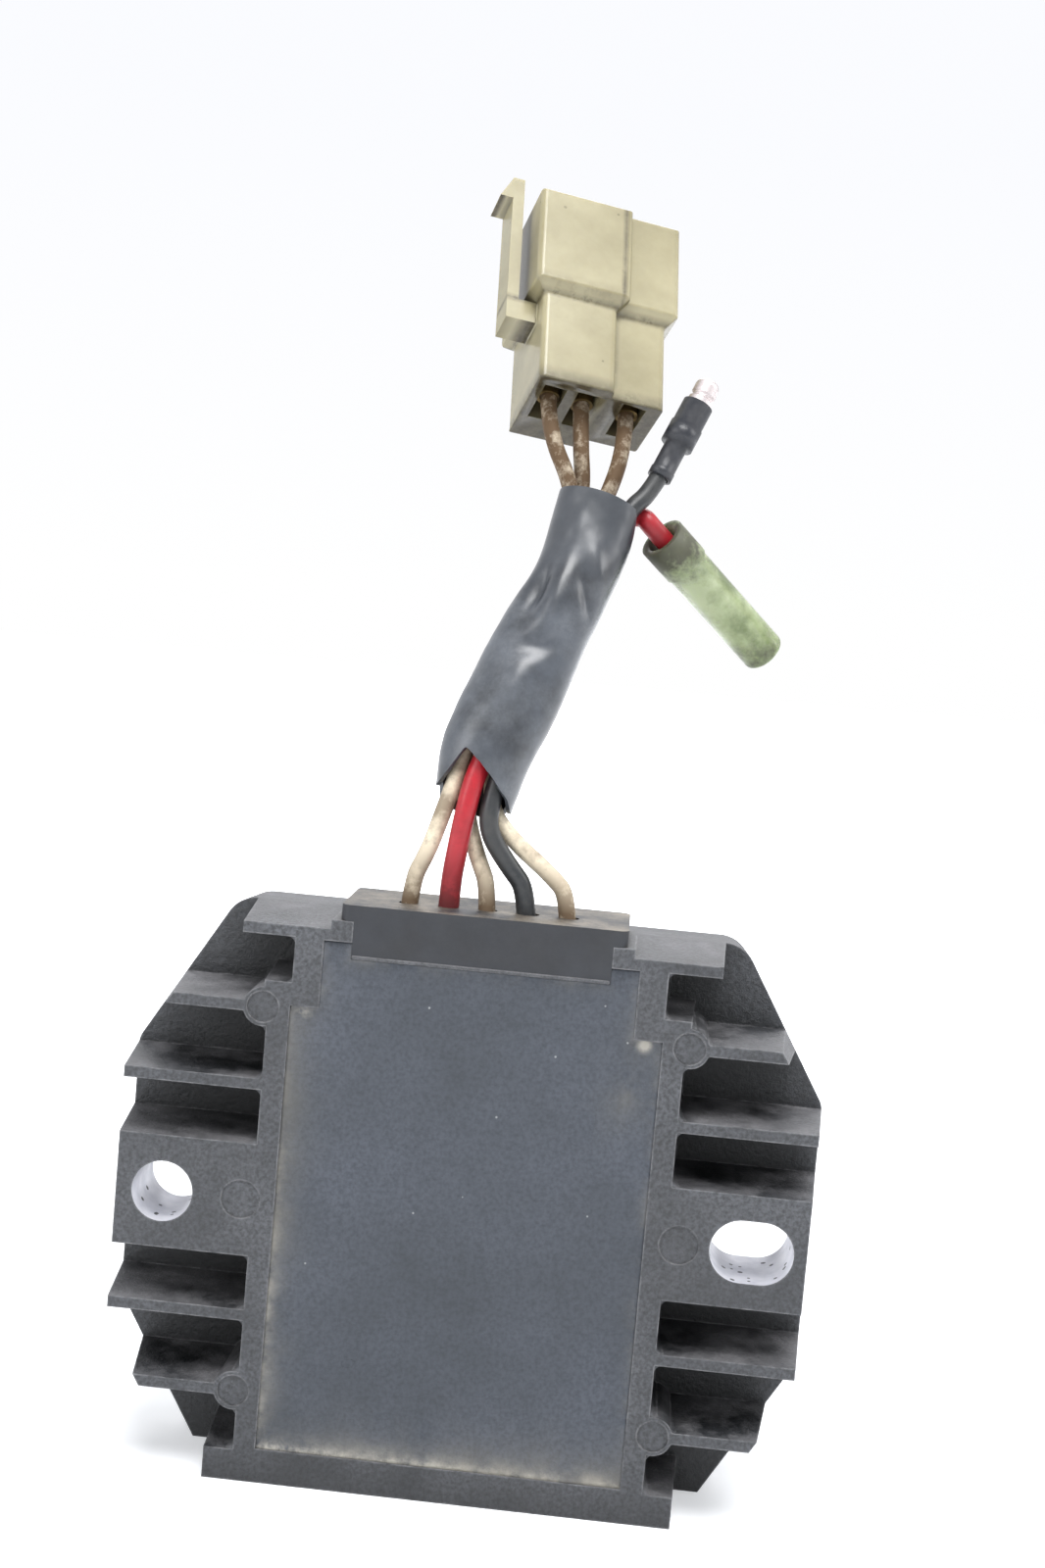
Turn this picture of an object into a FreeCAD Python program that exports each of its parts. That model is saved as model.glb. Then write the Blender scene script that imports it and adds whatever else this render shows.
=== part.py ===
import FreeCAD, Part
import math
import os
import re
import Sketcher
from FreeCAD import Vector

# Voltage regulator rectifier. It stands on its bottom edge, with the potted face towards -Y,
# the cooling fins towards +Y and the leads leaving at the top. The origin is at the middle of its foot.

# Driving dimensions in millimetres and degrees
SIZES = {
    # Die casting. Width and height are taken at the parting line, behind the comb fins.
    "housing_width": 94.6,
    "housing_height": 77.2,
    "housing_depth": 24.0,
    "top_slant": 12.55,
    "bottom_slant": 11.7,
    "side_flat": 36.4,
    "side_drop": 0.6,
    "side_corner_radius": 3.0,
    "top_corner_radius": 4.5,
    "comb_depth": 12.8,
    "face_draft": 5.5,
    "back_draft": 3.0,
    "pocket_draft": 2.5,
    # Comb fins, rim and ears on the potted face
    "inner_fin_offset": 15.75,
    "outer_fin_offset": 26.2,
    "comb_fin_thickness": 1.55,
    "top_flange": 1.5,
    "bottom_flange": 4.3,
    "flange_width": 63.2,
    "ear_height": 15.3,
    "ear_thickness": 12.0,
    "rim_width": 55.2,
    "shoulder_width": 49.2,
    "shoulder_drop": 8.8,
    "pin_boss_radius": 2.65,
    "pin_mark_radius": 2.1,
    "pin_boss_spacing": 56.4,
    "ear_mark_radius": 2.6,
    "ear_mark_spacing": 58.4,
    "mark_depth": 0.2,
    # Potted cavity and the notch for the leads
    "cavity_width": 49.2,
    "cavity_bottom": 4.7,
    "cavity_depth": 14.0,
    "neck_width": 41.6,
    "neck_length": 11.9,
    "notch_depth": 2.8,
    "notch_width": 34.2,
    "lug_width": 2.9,
    "resin_recess": 0.7,
    # Mounting holes
    "hole_diameter": 8.2,
    "hole_inset": 7.5,
    "slot_inset": 8.5,
    "slot_length": 11.1,
    "slot_width": 8.4,
    "bolt_recess_radius": 7.0,
    # Cooling fins on the far side
    "fin_gap_count": 8,
    "fin_gap": 7.0,
    "fin_pitch": 9.1,
    "fin_height": 7.0,
    "fin_draft": 2.0,
    # Block that holds the leads
    "block_stem": 5.0,
    "block_head_width": 37.8,
    "block_head_depth": 16.8,
    "block_head_height": 2.2,
    "block_corner_radius": 1.2,
    "lead_row_depth": 7.0,
    "lead_pitch": 5.5,
    "lead_foot_depth": 3.2,
    "white_lead_diameter": 2.3,
    "red_lead_diameter": 2.8,
    "black_lead_diameter": 2.6,
    "lead_clearance": 0.05,
    "lead_straight": 2.4,
    # Tags that join the leads to the base board
    "tag_cup_wall": 0.4,
    "tag_cup_length": 4.0,
    "tag_cup_bore": 2.0,
    "tag_width": 2.4,
    "tag_thickness": 0.8,
    "tag_drop": 9.0,
    # Boards and parts under the resin
    "base_board_side_margin": 2.6,
    "base_board_margin": 3.3,
    "base_board_thickness": 1.6,
    "control_board_width": 30.0,
    "control_board_height": 17.0,
    "control_board_thickness": 1.2,
    "control_board_gap": 4.0,
    "control_board_lift": 3.0,
    "board_pin_diameter": 1.0,
    "board_pin_margin": 2.0,
    "cell_size": 8.0,
    "cell_thickness": 2.4,
    "cell_pitch": 13.0,
    "cell_row_pitch": 13.0,
    "cell_clearance": 4.5,
    "chip_width": 5.0,
    "chip_height": 4.0,
    "chip_thickness": 1.5,
    "capacitor_diameter": 4.0,
    "capacitor_length": 4.5,
    "zener_diameter": 1.6,
    "zener_length": 3.6,
    "resistor_length": 3.2,
    "resistor_width": 1.6,
    "resistor_thickness": 0.6,
    "resistor_pitch": 3.2,
    "resistor_count": 6,
    # Sleeve round the leads
    "sleeve_wall": 0.6,
    "sleeve_half_width": 6.5,
    "sleeve_half_thickness": 4.7,
    "sleeve_mouth_half_width": 5.2,
    "sleeve_mouth_half_thickness": 4.2,
    "sleeve_dip_radius": 4.7,
    # Three pole connector, in its own frame with Z towards the mating side
    "connector_width": 11.1,
    "connector_depth": 14.6,
    "connector_body_length": 14.5,
    "side_pole_width": 7.85,
    "side_pole_depth": 11.0,
    "side_pole_setback": 1.4,
    "hood_length": 17.3,
    "hood_overhang": 1.5,
    "hood_wall": 1.2,
    "hood_floor": 1.5,
    "cell_width": 3.4,
    "cell_height": 7.6,
    "cell_depth": 12.0,
    "first_pole": 3.1,
    "second_pole": 8.1,
    "third_pole": 14.9,
    "pole_line": 6.0,
    "latch_gap": 1.4,
    "latch_thickness": 1.7,
    "latch_width": 5.0,
    "latch_start": 3.0,
    "latch_foot": 11.0,
    "latch_reach": 4.6,
    "latch_hook": 1.9,
    # Blades in the connector
    "blade_thickness": 0.8,
    "blade_width": 6.3,
    "blade_length": 8.0,
    "blade_clearance": 0.1,
    "crimp_wall": 0.5,
    "crimp_start": 1.0,
    "crimp_length": 3.5,
    "lead_entry": 4.0,
    # Bullets on the red and the black lead
    "bullet_diameter": 3.5,
    "bullet_wall": 0.5,
    "bullet_socket_length": 18.0,
    "bullet_crimp_length": 5.0,
    "bullet_inset": 2.5,
    "bullet_sleeve_length": 25.0,
    "bullet_sleeve_wall": 0.8,
    "bullet_sleeve_collar": 0.25,
    "bullet_sleeve_collar_length": 5.5,
    "bullet_sleeve_lip": 0.2,
    "pin_stand_out": 4.0,
    "pin_head": 3.2,
    "pin_neck": 0.3,
    "pin_tip_radius": 1.2,
    "boot_length": 12.2,
    "boot_wall": 0.35,
    "boot_mouth": 1.2,
    "boot_bead": 0.1,
    "boot_collar_start": 5.4,
    "boot_collar_length": 3.2,
    "boot_collar_diameter": 4.7,
    "boot_socket_diameter": 4.4,
    "boot_entry": 4.6,
}

# Places in the depth of the object, as expressions of the driving dimensions
FACE = "(0 - housing_depth / 2)"
PARTING = "(comb_depth - housing_depth / 2)"
BACK = "(housing_depth / 2)"
CAVITY_FLOOR = "(cavity_depth - housing_depth / 2)"
BASE_BOARD_FACE = "(cavity_depth - base_board_thickness - housing_depth / 2)"
CONTROL_BOARD_BACK = "(cavity_depth - base_board_thickness - control_board_gap - housing_depth / 2)"
CONTROL_BOARD_FACE = (
    "(cavity_depth - base_board_thickness - control_board_gap - control_board_thickness"
    " - housing_depth / 2)"
)
LEAD_ROW = "(lead_row_depth - housing_depth / 2)"

# Heights and widths that follow the outer size
MOUNT_HEIGHT = "(housing_height / 2)"
SIDE_MIDDLE = "(housing_height / 2 - side_drop)"
SHOULDER_HEIGHT = "(housing_height - shoulder_drop)"
NECK_START = "(housing_height - neck_length)"
NECK_END = "(housing_height - notch_depth)"
BLOCK_BOTTOM = "(housing_height - block_stem)"
HOLE_OFFSET = "(housing_width / 2 - hole_inset)"
SLOT_OFFSET = "(housing_width / 2 - slot_inset)"
BOARD_FOOT = "(cavity_bottom + base_board_margin)"
BOARD_WIDTH = "(cavity_width - 2 * base_board_side_margin)"
BOARD_HEIGHT = "(housing_height - neck_length - cavity_bottom - 2 * base_board_margin)"
LEAD_FOOT = "(housing_height - block_stem - lead_foot_depth)"
TAG_LOW = "(housing_height - block_stem - lead_foot_depth - tag_cup_length + tag_cup_bore - tag_drop)"
BLOCK_TOP = "(housing_height + block_head_height)"
BEYOND = "(housing_width)"

LEADS = {
    "white_lead_1": "white_lead_diameter",
    "red_lead": "red_lead_diameter",
    "white_lead_2": "white_lead_diameter",
    "black_lead": "black_lead_diameter",
    "white_lead_3": "white_lead_diameter",
}

# Place and turn of the connector and the two bullets, which the stiff leads hold up
CONNECTOR_PLACE = Vector(-0.4, 10.0, 152.2)
CONNECTOR_TURN = FreeCAD.Rotation(18.0, 6.6, -30.5)
BOOT_PLACE = Vector(17.2, 12.8, 139.6)
BOOT_DIRECTION = Vector(0.367, 0.292, 0.883)
RED_SLEEVE_PLACE = Vector(18.4, 13.0, 131.3)
RED_SLEEVE_DIRECTION = Vector(0.66, 0.46, -0.60)

# The routes are drawn with the top of the middle lead bore here, and they move with it
HARNESS_DRAWN_FROM = Vector(0.0, -5.0, 79.4)
LEAD_ROUTES = {
    "white_lead_1": [
        Vector(-8.8, -5.0, 86.6), Vector(-7.4, -4.7, 91.6), Vector(-6.2, -4.0, 96.0),
        Vector(-5.3, -2.6, 100.6), Vector(-2.9, 0.3, 108.0), Vector(0.1, 3.5, 116.3),
        Vector(3.6, 6.5, 124.6), Vector(5.2, 9.3, 131.0), Vector(5.7, 11.3, 136.6),
    ],
    "red_lead": [
        Vector(-5.0, -5.8, 86.4), Vector(-4.3, -6.2, 91.8), Vector(-3.6, -5.5, 96.4),
        Vector(-2.3, -4.0, 100.6), Vector(0.5, -0.6, 108.0), Vector(3.6, 3.0, 116.3),
        Vector(7.2, 6.8, 124.6), Vector(10.8, 11.3, 130.0), Vector(13.3, 13.1, 133.9),
        Vector(15.6, 12.9, 134.1),
    ],
    "white_lead_2": [
        Vector(-2.3, -4.1, 86.4), Vector(-3.9, -2.8, 90.6), Vector(-5.0, -1.5, 94.6),
        Vector(-4.0, 0.1, 100.6), Vector(-1.7, 3.1, 108.0), Vector(1.2, 6.2, 116.3),
        Vector(4.5, 9.1, 124.6), Vector(5.4, 11.9, 131.0), Vector(6.9, 13.5, 136.4),
    ],
    "black_lead": [
        Vector(1.6, -5.2, 86.2), Vector(-1.2, -5.8, 90.4), Vector(-0.9, -5.0, 94.8),
        Vector(0.5, -2.8, 100.6), Vector(3.4, 0.0, 108.0), Vector(6.7, 2.9, 116.3),
        Vector(10.1, 5.9, 124.6), Vector(11.8, 8.5, 130.4), Vector(13.6, 10.0, 134.9),
    ],
    "white_lead_3": [
        Vector(7.4, -4.4, 85.2), Vector(2.9, -3.6, 88.4), Vector(-0.8, -3.1, 92.2),
        Vector(-1.4, -1.5, 96.0), Vector(-0.8, 0.1, 100.6), Vector(1.2, 3.4, 108.0),
        Vector(3.9, 6.6, 116.3), Vector(7.0, 9.9, 124.6), Vector(7.7, 12.6, 131.0),
        Vector(10.3, 13.6, 136.4),
    ],
}

# Middle, half width and half thickness of the sleeve, from its lower mouth to its upper rim
SLEEVE_STATIONS = [
    (Vector(-3.7, -3.9, 92.3), "sleeve_mouth_half_width", "sleeve_mouth_half_thickness"),
    (Vector(-2.3, -2.0, 100.6), "sleeve_half_width * 0.95", "sleeve_half_thickness"),
    (Vector(0.4, 1.0, 108.0), "sleeve_half_width", "sleeve_half_thickness"),
    (Vector(3.4, 4.0, 116.3), "sleeve_half_width * 0.93", "sleeve_half_thickness"),
    (Vector(6.9, 7.2, 124.6), "sleeve_half_width * 0.86", "sleeve_half_thickness"),
    (Vector(8.6, 10.0, 131.0), "sleeve_half_width * 0.9", "sleeve_half_thickness"),
    (Vector(9.3, 11.3, 135.2), "sleeve_half_width * 0.9", "sleeve_half_thickness"),
]
SLEEVE_RIM_DIRECTION = Vector(0.25, 0.40, 1.0)
# Wedge cut out of the near side of the lower mouth, and the dip where two leads hang over the rim
SLEEVE_MOUTH_BACK = -1.6
SLEEVE_MOUTH_OUTLINE = [
    (-4.9, 101.1), (-9.9, 93.6), (-12.0, 86.0), (4.0, 86.0), (2.2, 90.4), (1.2, 94.3), (-0.7, 97.0),
    (-2.8, 99.3),
]
SLEEVE_DIP_PLACE = Vector(15.3, 0.0, 134.3)

doc = FreeCAD.newDocument("regulator_rectifier")
sheet = doc.addObject("Spreadsheet::Sheet", "sizes")
for row, (alias, value) in enumerate(SIZES.items(), start=1):
    sheet.set("A%d" % row, alias)
    sheet.set("B%d" % row, str(value))
    sheet.setAlias("B%d" % row, alias)
doc.recompute()


def bound(text):
    """Point each size name in an expression at its cell in the sheet."""
    return re.sub(r"[a-z][a-z_]*", lambda m: "sizes." + m.group(0) if m.group(0) in SIZES else m.group(0), text)


def value_of(text):
    """The present value of an expression, as a plain number."""
    found = sheet.evalExpression(bound(text))
    return float(getattr(found, "Value", found))


def set_size(feature, name, text):
    feature.setExpression(name, bound(text))


def new_body(label, place=None):
    body = doc.addObject("PartDesign::Body", label)
    body.Label = label
    body.AllowCompound = True
    if place is not None:
        body.Placement = place
    return body


def plane_of(body, role):
    return [plane for plane in body.Origin.OriginFeatures if plane.Role == role][0]


def new_sketch(body, name, role="XZ_Plane", offset="0"):
    """A sketch on an origin plane of its own body, moved along the plane's normal."""
    sketch = body.newObject("Sketcher::SketchObject", name)
    sketch.AttachmentSupport = (plane_of(body, role), [""])
    sketch.MapMode = "FlatFace"
    set_size(sketch, ".AttachmentOffset.Base.z", offset)
    return sketch


def pin_point(sketch, edge, end, across, up):
    """Hold one end of an edge at a place given by two expressions."""
    for kind, text in (("DistanceX", across), ("DistanceY", up)):
        index = sketch.addConstraint(Sketcher.Constraint(kind, -1, 1, edge, end, value_of(text)))
        set_size(sketch, "Constraints[%d]" % index, text)


def add_polygon(sketch, corners):
    """A closed outline of straight edges through corners given as pairs of expressions."""
    places = [Vector(value_of(x), value_of(y), 0) for x, y in corners]
    first = sketch.GeometryCount
    count = len(corners)
    for i in range(count):
        sketch.addGeometry(Part.LineSegment(places[i], places[(i + 1) % count]))
    for i in range(count):
        sketch.addConstraint(Sketcher.Constraint("Coincident", first + i, 2, first + (i + 1) % count, 1))
    for i, (x, y) in enumerate(corners):
        pin_point(sketch, first + i, 1, x, y)


def add_rectangle(sketch, left, bottom, right, top):
    add_polygon(sketch, [(left, bottom), (right, bottom), (right, top), (left, top)])


def add_circle(sketch, across, up, radius):
    middle = Vector(value_of(across), value_of(up), 0)
    edge = sketch.addGeometry(Part.Circle(middle, Vector(0, 0, 1), value_of(radius)))
    pin_point(sketch, edge, 3, across, up)
    index = sketch.addConstraint(Sketcher.Constraint("Radius", edge, value_of(radius)))
    set_size(sketch, "Constraints[%d]" % index, radius)


def add_slot(sketch, across, up, reach, radius):
    """A round ended slot along the sketch's first axis, reach being half the straight length."""
    x, y, half, r = (value_of(text) for text in (across, up, reach, radius))
    top = sketch.addGeometry(Part.LineSegment(Vector(x + half, y + r, 0), Vector(x - half, y + r, 0)))
    left = sketch.addGeometry(Part.ArcOfCircle(
        Part.Circle(Vector(x - half, y, 0), Vector(0, 0, 1), r), math.pi / 2, 3 * math.pi / 2))
    bottom = sketch.addGeometry(Part.LineSegment(Vector(x - half, y - r, 0), Vector(x + half, y - r, 0)))
    right = sketch.addGeometry(Part.ArcOfCircle(
        Part.Circle(Vector(x + half, y, 0), Vector(0, 0, 1), r), -math.pi / 2, math.pi / 2))
    for one, other in ((top, left), (left, bottom), (bottom, right), (right, top)):
        sketch.addConstraint(Sketcher.Constraint("Tangent", one, 2, other, 1))
    pin_point(sketch, left, 3, across + " - " + reach, up)
    pin_point(sketch, right, 3, across + " + " + reach, up)
    index = sketch.addConstraint(Sketcher.Constraint("Radius", left, r))
    set_size(sketch, "Constraints[%d]" % index, radius)


def add_feature(body, kind, name, sketch, length, reverse=False, draft=None):
    """A pad or a pocket on a sketch, checked for having done something."""
    before = body.Shape.Volume if body.Tip and not body.Shape.isNull() else 0.0
    feature = body.newObject("PartDesign::" + kind, name)
    feature.Profile = sketch
    feature.Reversed = reverse
    set_size(feature, "Length", length)
    if draft is not None:
        set_size(feature, "TaperAngle", draft)
    doc.recompute()
    after = body.Shape.Volume
    if abs(after - before) < 1e-6:
        raise RuntimeError(name + " changed nothing")
    return feature


def revolve(body, name, profile, role="XZ_Plane"):
    """A full turn of a profile about the body's Z axis, the sketch's vertical axis."""
    sketch = new_sketch(body, name + "_profile", role)
    add_polygon(sketch, profile)
    feature = body.newObject("PartDesign::Revolution", name)
    feature.Profile = sketch
    feature.ReferenceAxis = (sketch, ["V_Axis"])
    feature.Angle = 360.0
    doc.recompute()
    return feature


def mirror_feature(body, name, features):
    """Repeat features on the other side of the body's middle plane."""
    mirror = body.newObject("PartDesign::Mirrored", name)
    mirror.Originals = features
    mirror.MirrorPlane = (plane_of(body, "YZ_Plane"), [""])
    body.Tip = mirror
    doc.recompute()
    return mirror


def edges_where(shape, test):
    return ["Edge%d" % (i + 1) for i, edge in enumerate(shape.Edges) if test(edge)]


def round_edges(body, name, edges, radius):
    fillet = body.newObject("PartDesign::Fillet", name)
    fillet.Base = (body.Tip if body.Tip != fillet else fillet.BaseFeature, edges)
    set_size(fillet, "Radius", radius)
    doc.recompute()
    return fillet


def runs_through(edge):
    """Whether an edge runs through the depth of the object, from the face towards the back."""
    return edge.BoundBox.YLength > 2.0 * max(edge.BoundBox.XLength, edge.BoundBox.ZLength)


def lies_at(edge, axis, level, slack=0.01):
    """Whether a whole edge lies in a plane across one axis."""
    low, high = (getattr(edge.BoundBox, axis + end) for end in ("Min", "Max"))
    return abs(low - level) < slack and abs(high - level) < slack


def comb_gaps():
    """Outlines of the gaps between the comb fins on the right-hand side, from the top down."""
    rim = "rim_width / 2"
    half_fin = "comb_fin_thickness / 2"
    fins = {
        "upper_outer": MOUNT_HEIGHT + " + outer_fin_offset",
        "upper_inner": MOUNT_HEIGHT + " + inner_fin_offset",
        "lower_inner": MOUNT_HEIGHT + " - inner_fin_offset",
        "lower_outer": MOUNT_HEIGHT + " - outer_fin_offset",
    }
    over = {name: middle + " + " + half_fin for name, middle in fins.items()}
    under = {name: middle + " - " + half_fin for name, middle in fins.items()}
    ear_top = MOUNT_HEIGHT + " + ear_height / 2"
    ear_bottom = MOUNT_HEIGHT + " - ear_height / 2"
    flange_end = "flange_width / 2"
    flange_under = "housing_height - comb_depth * tan(face_draft) - top_flange"
    shoulder = "shoulder_width / 2"
    boss = "pin_boss_spacing / 2"
    plain = [
        (over["upper_inner"], under["upper_outer"]),
        (ear_top, under["upper_inner"]),
        (over["lower_inner"], ear_bottom),
        (over["lower_outer"], under["lower_inner"]),
    ]
    outlines = [[
        (shoulder, SHOULDER_HEIGHT), (boss, SHOULDER_HEIGHT), (boss, over["upper_outer"]),
        (BEYOND, over["upper_outer"]), (BEYOND, "2 * housing_height"), (flange_end, "2 * housing_height"),
        (flange_end, flange_under), (shoulder, flange_under),
    ]]
    outlines += [[(rim, low), (BEYOND, low), (BEYOND, high), (rim, high)] for low, high in plain]
    outlines += [[
        (rim, "bottom_flange"), (flange_end, "bottom_flange"), (flange_end, "0 - housing_height"),
        (BEYOND, "0 - housing_height"), (BEYOND, under["lower_outer"]), (rim, under["lower_outer"]),
    ]]
    return outlines


def make_housing():
    """The die casting: octagonal plate, comb face with rim and ears, cavity and cooling fins."""
    body = new_body("housing")
    half = "housing_width / 2"
    side_low, side_high = SIDE_MIDDLE + " - side_flat / 2", SIDE_MIDDLE + " + side_flat / 2"
    slope = "(0 - bottom_slant) / (" + side_low + ")"
    below = "comb_depth / 4"
    outline = new_sketch(body, "plate_outline", offset="0 - " + PARTING)
    right_side = [
        (half + " - bottom_slant + " + slope + " * " + below, "0 - " + below),
        (half, side_low),
        (half, side_high),
        (half + " - top_slant", "housing_height"),
    ]
    left_side = [("0 - (" + x + ")", z) for x, z in reversed(right_side)]
    add_polygon(outline, right_side + left_side)
    add_feature(body, "Pad", "comb_side", outline, "comb_depth", draft="0 - face_draft")
    add_feature(body, "Pad", "fin_side", outline, "housing_depth - comb_depth", reverse=True,
                draft="0 - back_draft")
    top = value_of("housing_height")
    upright = edges_where(body.Shape, lambda e: runs_through(e) and e.BoundBox.ZMin > top - 2.0)
    round_edges(body, "top_corners", upright, "top_corner_radius")
    upright = edges_where(body.Shape, lambda e: runs_through(e) and 0 < e.BoundBox.ZMin < top - 12.0)
    round_edges(body, "side_corners", upright, "side_corner_radius")

    foot_cut = new_sketch(body, "foot_cut", offset="0 - " + FACE)
    add_rectangle(foot_cut, "0 - " + BEYOND, "0 - housing_depth", BEYOND, "0")
    add_feature(body, "Pocket", "flat_foot", foot_cut, "housing_depth")

    gaps = []
    for number, corners in enumerate(comb_gaps(), start=1):
        sketch = new_sketch(body, "comb_gap_outline_%d" % number, offset="0 - " + FACE)
        add_polygon(sketch, corners)
        gaps.append(add_feature(body, "Pocket", "comb_gap_%d" % number, sketch, "comb_depth",
                                draft="0 - pocket_draft"))
    mirror_feature(body, "comb_gaps_left", gaps)

    bosses = new_sketch(body, "pin_boss_outline", offset="0 - " + FACE)
    for side_sign in ("", "0 - "):
        for level in (MOUNT_HEIGHT + " + outer_fin_offset", MOUNT_HEIGHT + " - outer_fin_offset"):
            add_circle(bosses, side_sign + "pin_boss_spacing / 2", level, "pin_boss_radius")
    add_feature(body, "Pad", "pin_bosses", bosses, "comb_depth", reverse=True)

    lugs = new_sketch(body, "lug_outline", offset="0 - " + FACE)
    notch = "notch_width / 2"
    lug_end = "notch_width / 2 + lug_width"
    add_rectangle(lugs, notch, NECK_END, lug_end, "housing_height")
    add_rectangle(lugs, "0 - (" + lug_end + ")", NECK_END, "0 - " + notch, "housing_height")
    add_feature(body, "Pad", "lugs", lugs, "comb_depth", reverse=True)

    cavity = new_sketch(body, "cavity_outline", offset="0 - " + FACE)
    wide, neck = "cavity_width / 2", "neck_width / 2"
    right_side = [
        (wide, "cavity_bottom"), (wide, NECK_START), (neck, NECK_START), (neck, NECK_END),
        (notch, NECK_END), (notch, "2 * housing_height"),
    ]
    left_side = [("0 - " + x, z) for x, z in reversed(right_side)]
    add_polygon(cavity, right_side + left_side)
    add_feature(body, "Pocket", "cavity", cavity, "cavity_depth")

    marks = new_sketch(body, "ejector_mark_outline", offset="0 - " + FACE)
    for side_sign in ("", "0 - "):
        for level in (MOUNT_HEIGHT + " + outer_fin_offset", MOUNT_HEIGHT + " - outer_fin_offset"):
            add_circle(marks, side_sign + "pin_boss_spacing / 2", level, "pin_mark_radius")
        add_circle(marks, side_sign + "ear_mark_spacing / 2", MOUNT_HEIGHT, "ear_mark_radius")
    add_feature(body, "Pocket", "ejector_marks", marks, "mark_depth")

    hole = new_sketch(body, "round_hole_outline", offset="0 - " + FACE)
    add_circle(hole, "0 - " + HOLE_OFFSET, MOUNT_HEIGHT, "hole_diameter / 2")
    add_feature(body, "Pocket", "round_hole", hole, "housing_depth")
    slot = new_sketch(body, "slot_outline", offset="0 - " + FACE)
    add_slot(slot, SLOT_OFFSET, MOUNT_HEIGHT, "(slot_length - slot_width) / 2", "slot_width / 2")
    add_feature(body, "Pocket", "slot_hole", slot, "housing_depth")

    recess = new_sketch(body, "bolt_recess_outline", offset="0 - " + BACK)
    for side_sign, middle in (("", SLOT_OFFSET), ("0 - ", HOLE_OFFSET)):
        reach = "(" + BEYOND + ") / 2"
        add_slot(recess, side_sign + "(" + middle + " + " + reach + ")", MOUNT_HEIGHT, reach,
                 "bolt_recess_radius")
    add_feature(body, "Pocket", "bolt_recesses", recess, "housing_depth - ear_thickness", reverse=True)

    gap = new_sketch(body, "fin_gap_outline", offset="0 - " + BACK)
    lowest = "(housing_height - (fin_gap_count - 1) * fin_pitch - fin_gap) / 2"
    add_rectangle(gap, "0 - " + BEYOND, lowest, BEYOND, lowest + " + fin_gap")
    first = add_feature(body, "Pocket", "fin_gap_lowest", gap, "fin_height", reverse=True,
                        draft="0 - fin_draft")
    row = body.newObject("PartDesign::LinearPattern", "fin_gaps")
    row.Originals = [first]
    row.Direction = (gap, ["V_Axis"])
    set_size(row, "Length", "(fin_gap_count - 1) * fin_pitch")
    set_size(row, "Occurrences", "fin_gap_count")
    body.Tip = row
    doc.recompute()
    return body


def make_lead_block():
    """Moulded block in the notch, with a head that stands over it and a bore for each lead."""
    body = new_body("lead_block")
    stem = new_sketch(body, "stem_outline", offset="0 - " + FACE)
    add_rectangle(stem, "0 - notch_width / 2", BLOCK_BOTTOM, "notch_width / 2", "housing_height")
    add_feature(body, "Pad", "stem", stem, "cavity_depth", reverse=True)
    head = new_sketch(body, "head_outline", offset="0 - " + FACE)
    side = "block_head_width / 2"
    add_rectangle(head, "0 - " + side, "housing_height", side, BLOCK_TOP)
    add_feature(body, "Pad", "head", head, "block_head_depth", reverse=True)
    reach = value_of(side)
    low, high = value_of("housing_height"), value_of(BLOCK_TOP)
    corners = edges_where(body.Shape, lambda e: lies_at(e, "X", math.copysign(reach, e.BoundBox.XMin))
                          and abs(e.BoundBox.ZMin - low) < 0.01 and abs(e.BoundBox.ZMax - high) < 0.01)
    round_edges(body, "head_corners", corners, "block_corner_radius")
    bores = new_sketch(body, "bore_outline", role="XY_Plane", offset=BLOCK_TOP)
    for place, (name, diameter) in enumerate(LEADS.items()):
        add_circle(bores, lead_across(place), LEAD_ROW, diameter + " / 2")
    add_feature(body, "Pocket", "lead_bores", bores, BLOCK_TOP + " - " + BLOCK_BOTTOM)
    return body


def lead_across(place):
    """Where a lead leaves the block, counted from the left, as an expression."""
    return "lead_pitch * %d" % (place - 2)


def slab(label, across, up, width, height, back, thickness):
    """A flat piece on a surface that faces -Y, given by its middle and its size."""
    body = new_body(label)
    sketch = new_sketch(body, label + "_outline", offset="0 - " + back)
    left, right = (across + sign + width + " / 2" for sign in (" - ", " + "))
    bottom, top = (up + sign + height + " / 2" for sign in (" - ", " + "))
    add_rectangle(sketch, left, bottom, right, top)
    add_feature(body, "Pad", label + "_pad", sketch, thickness)
    return body


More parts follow.
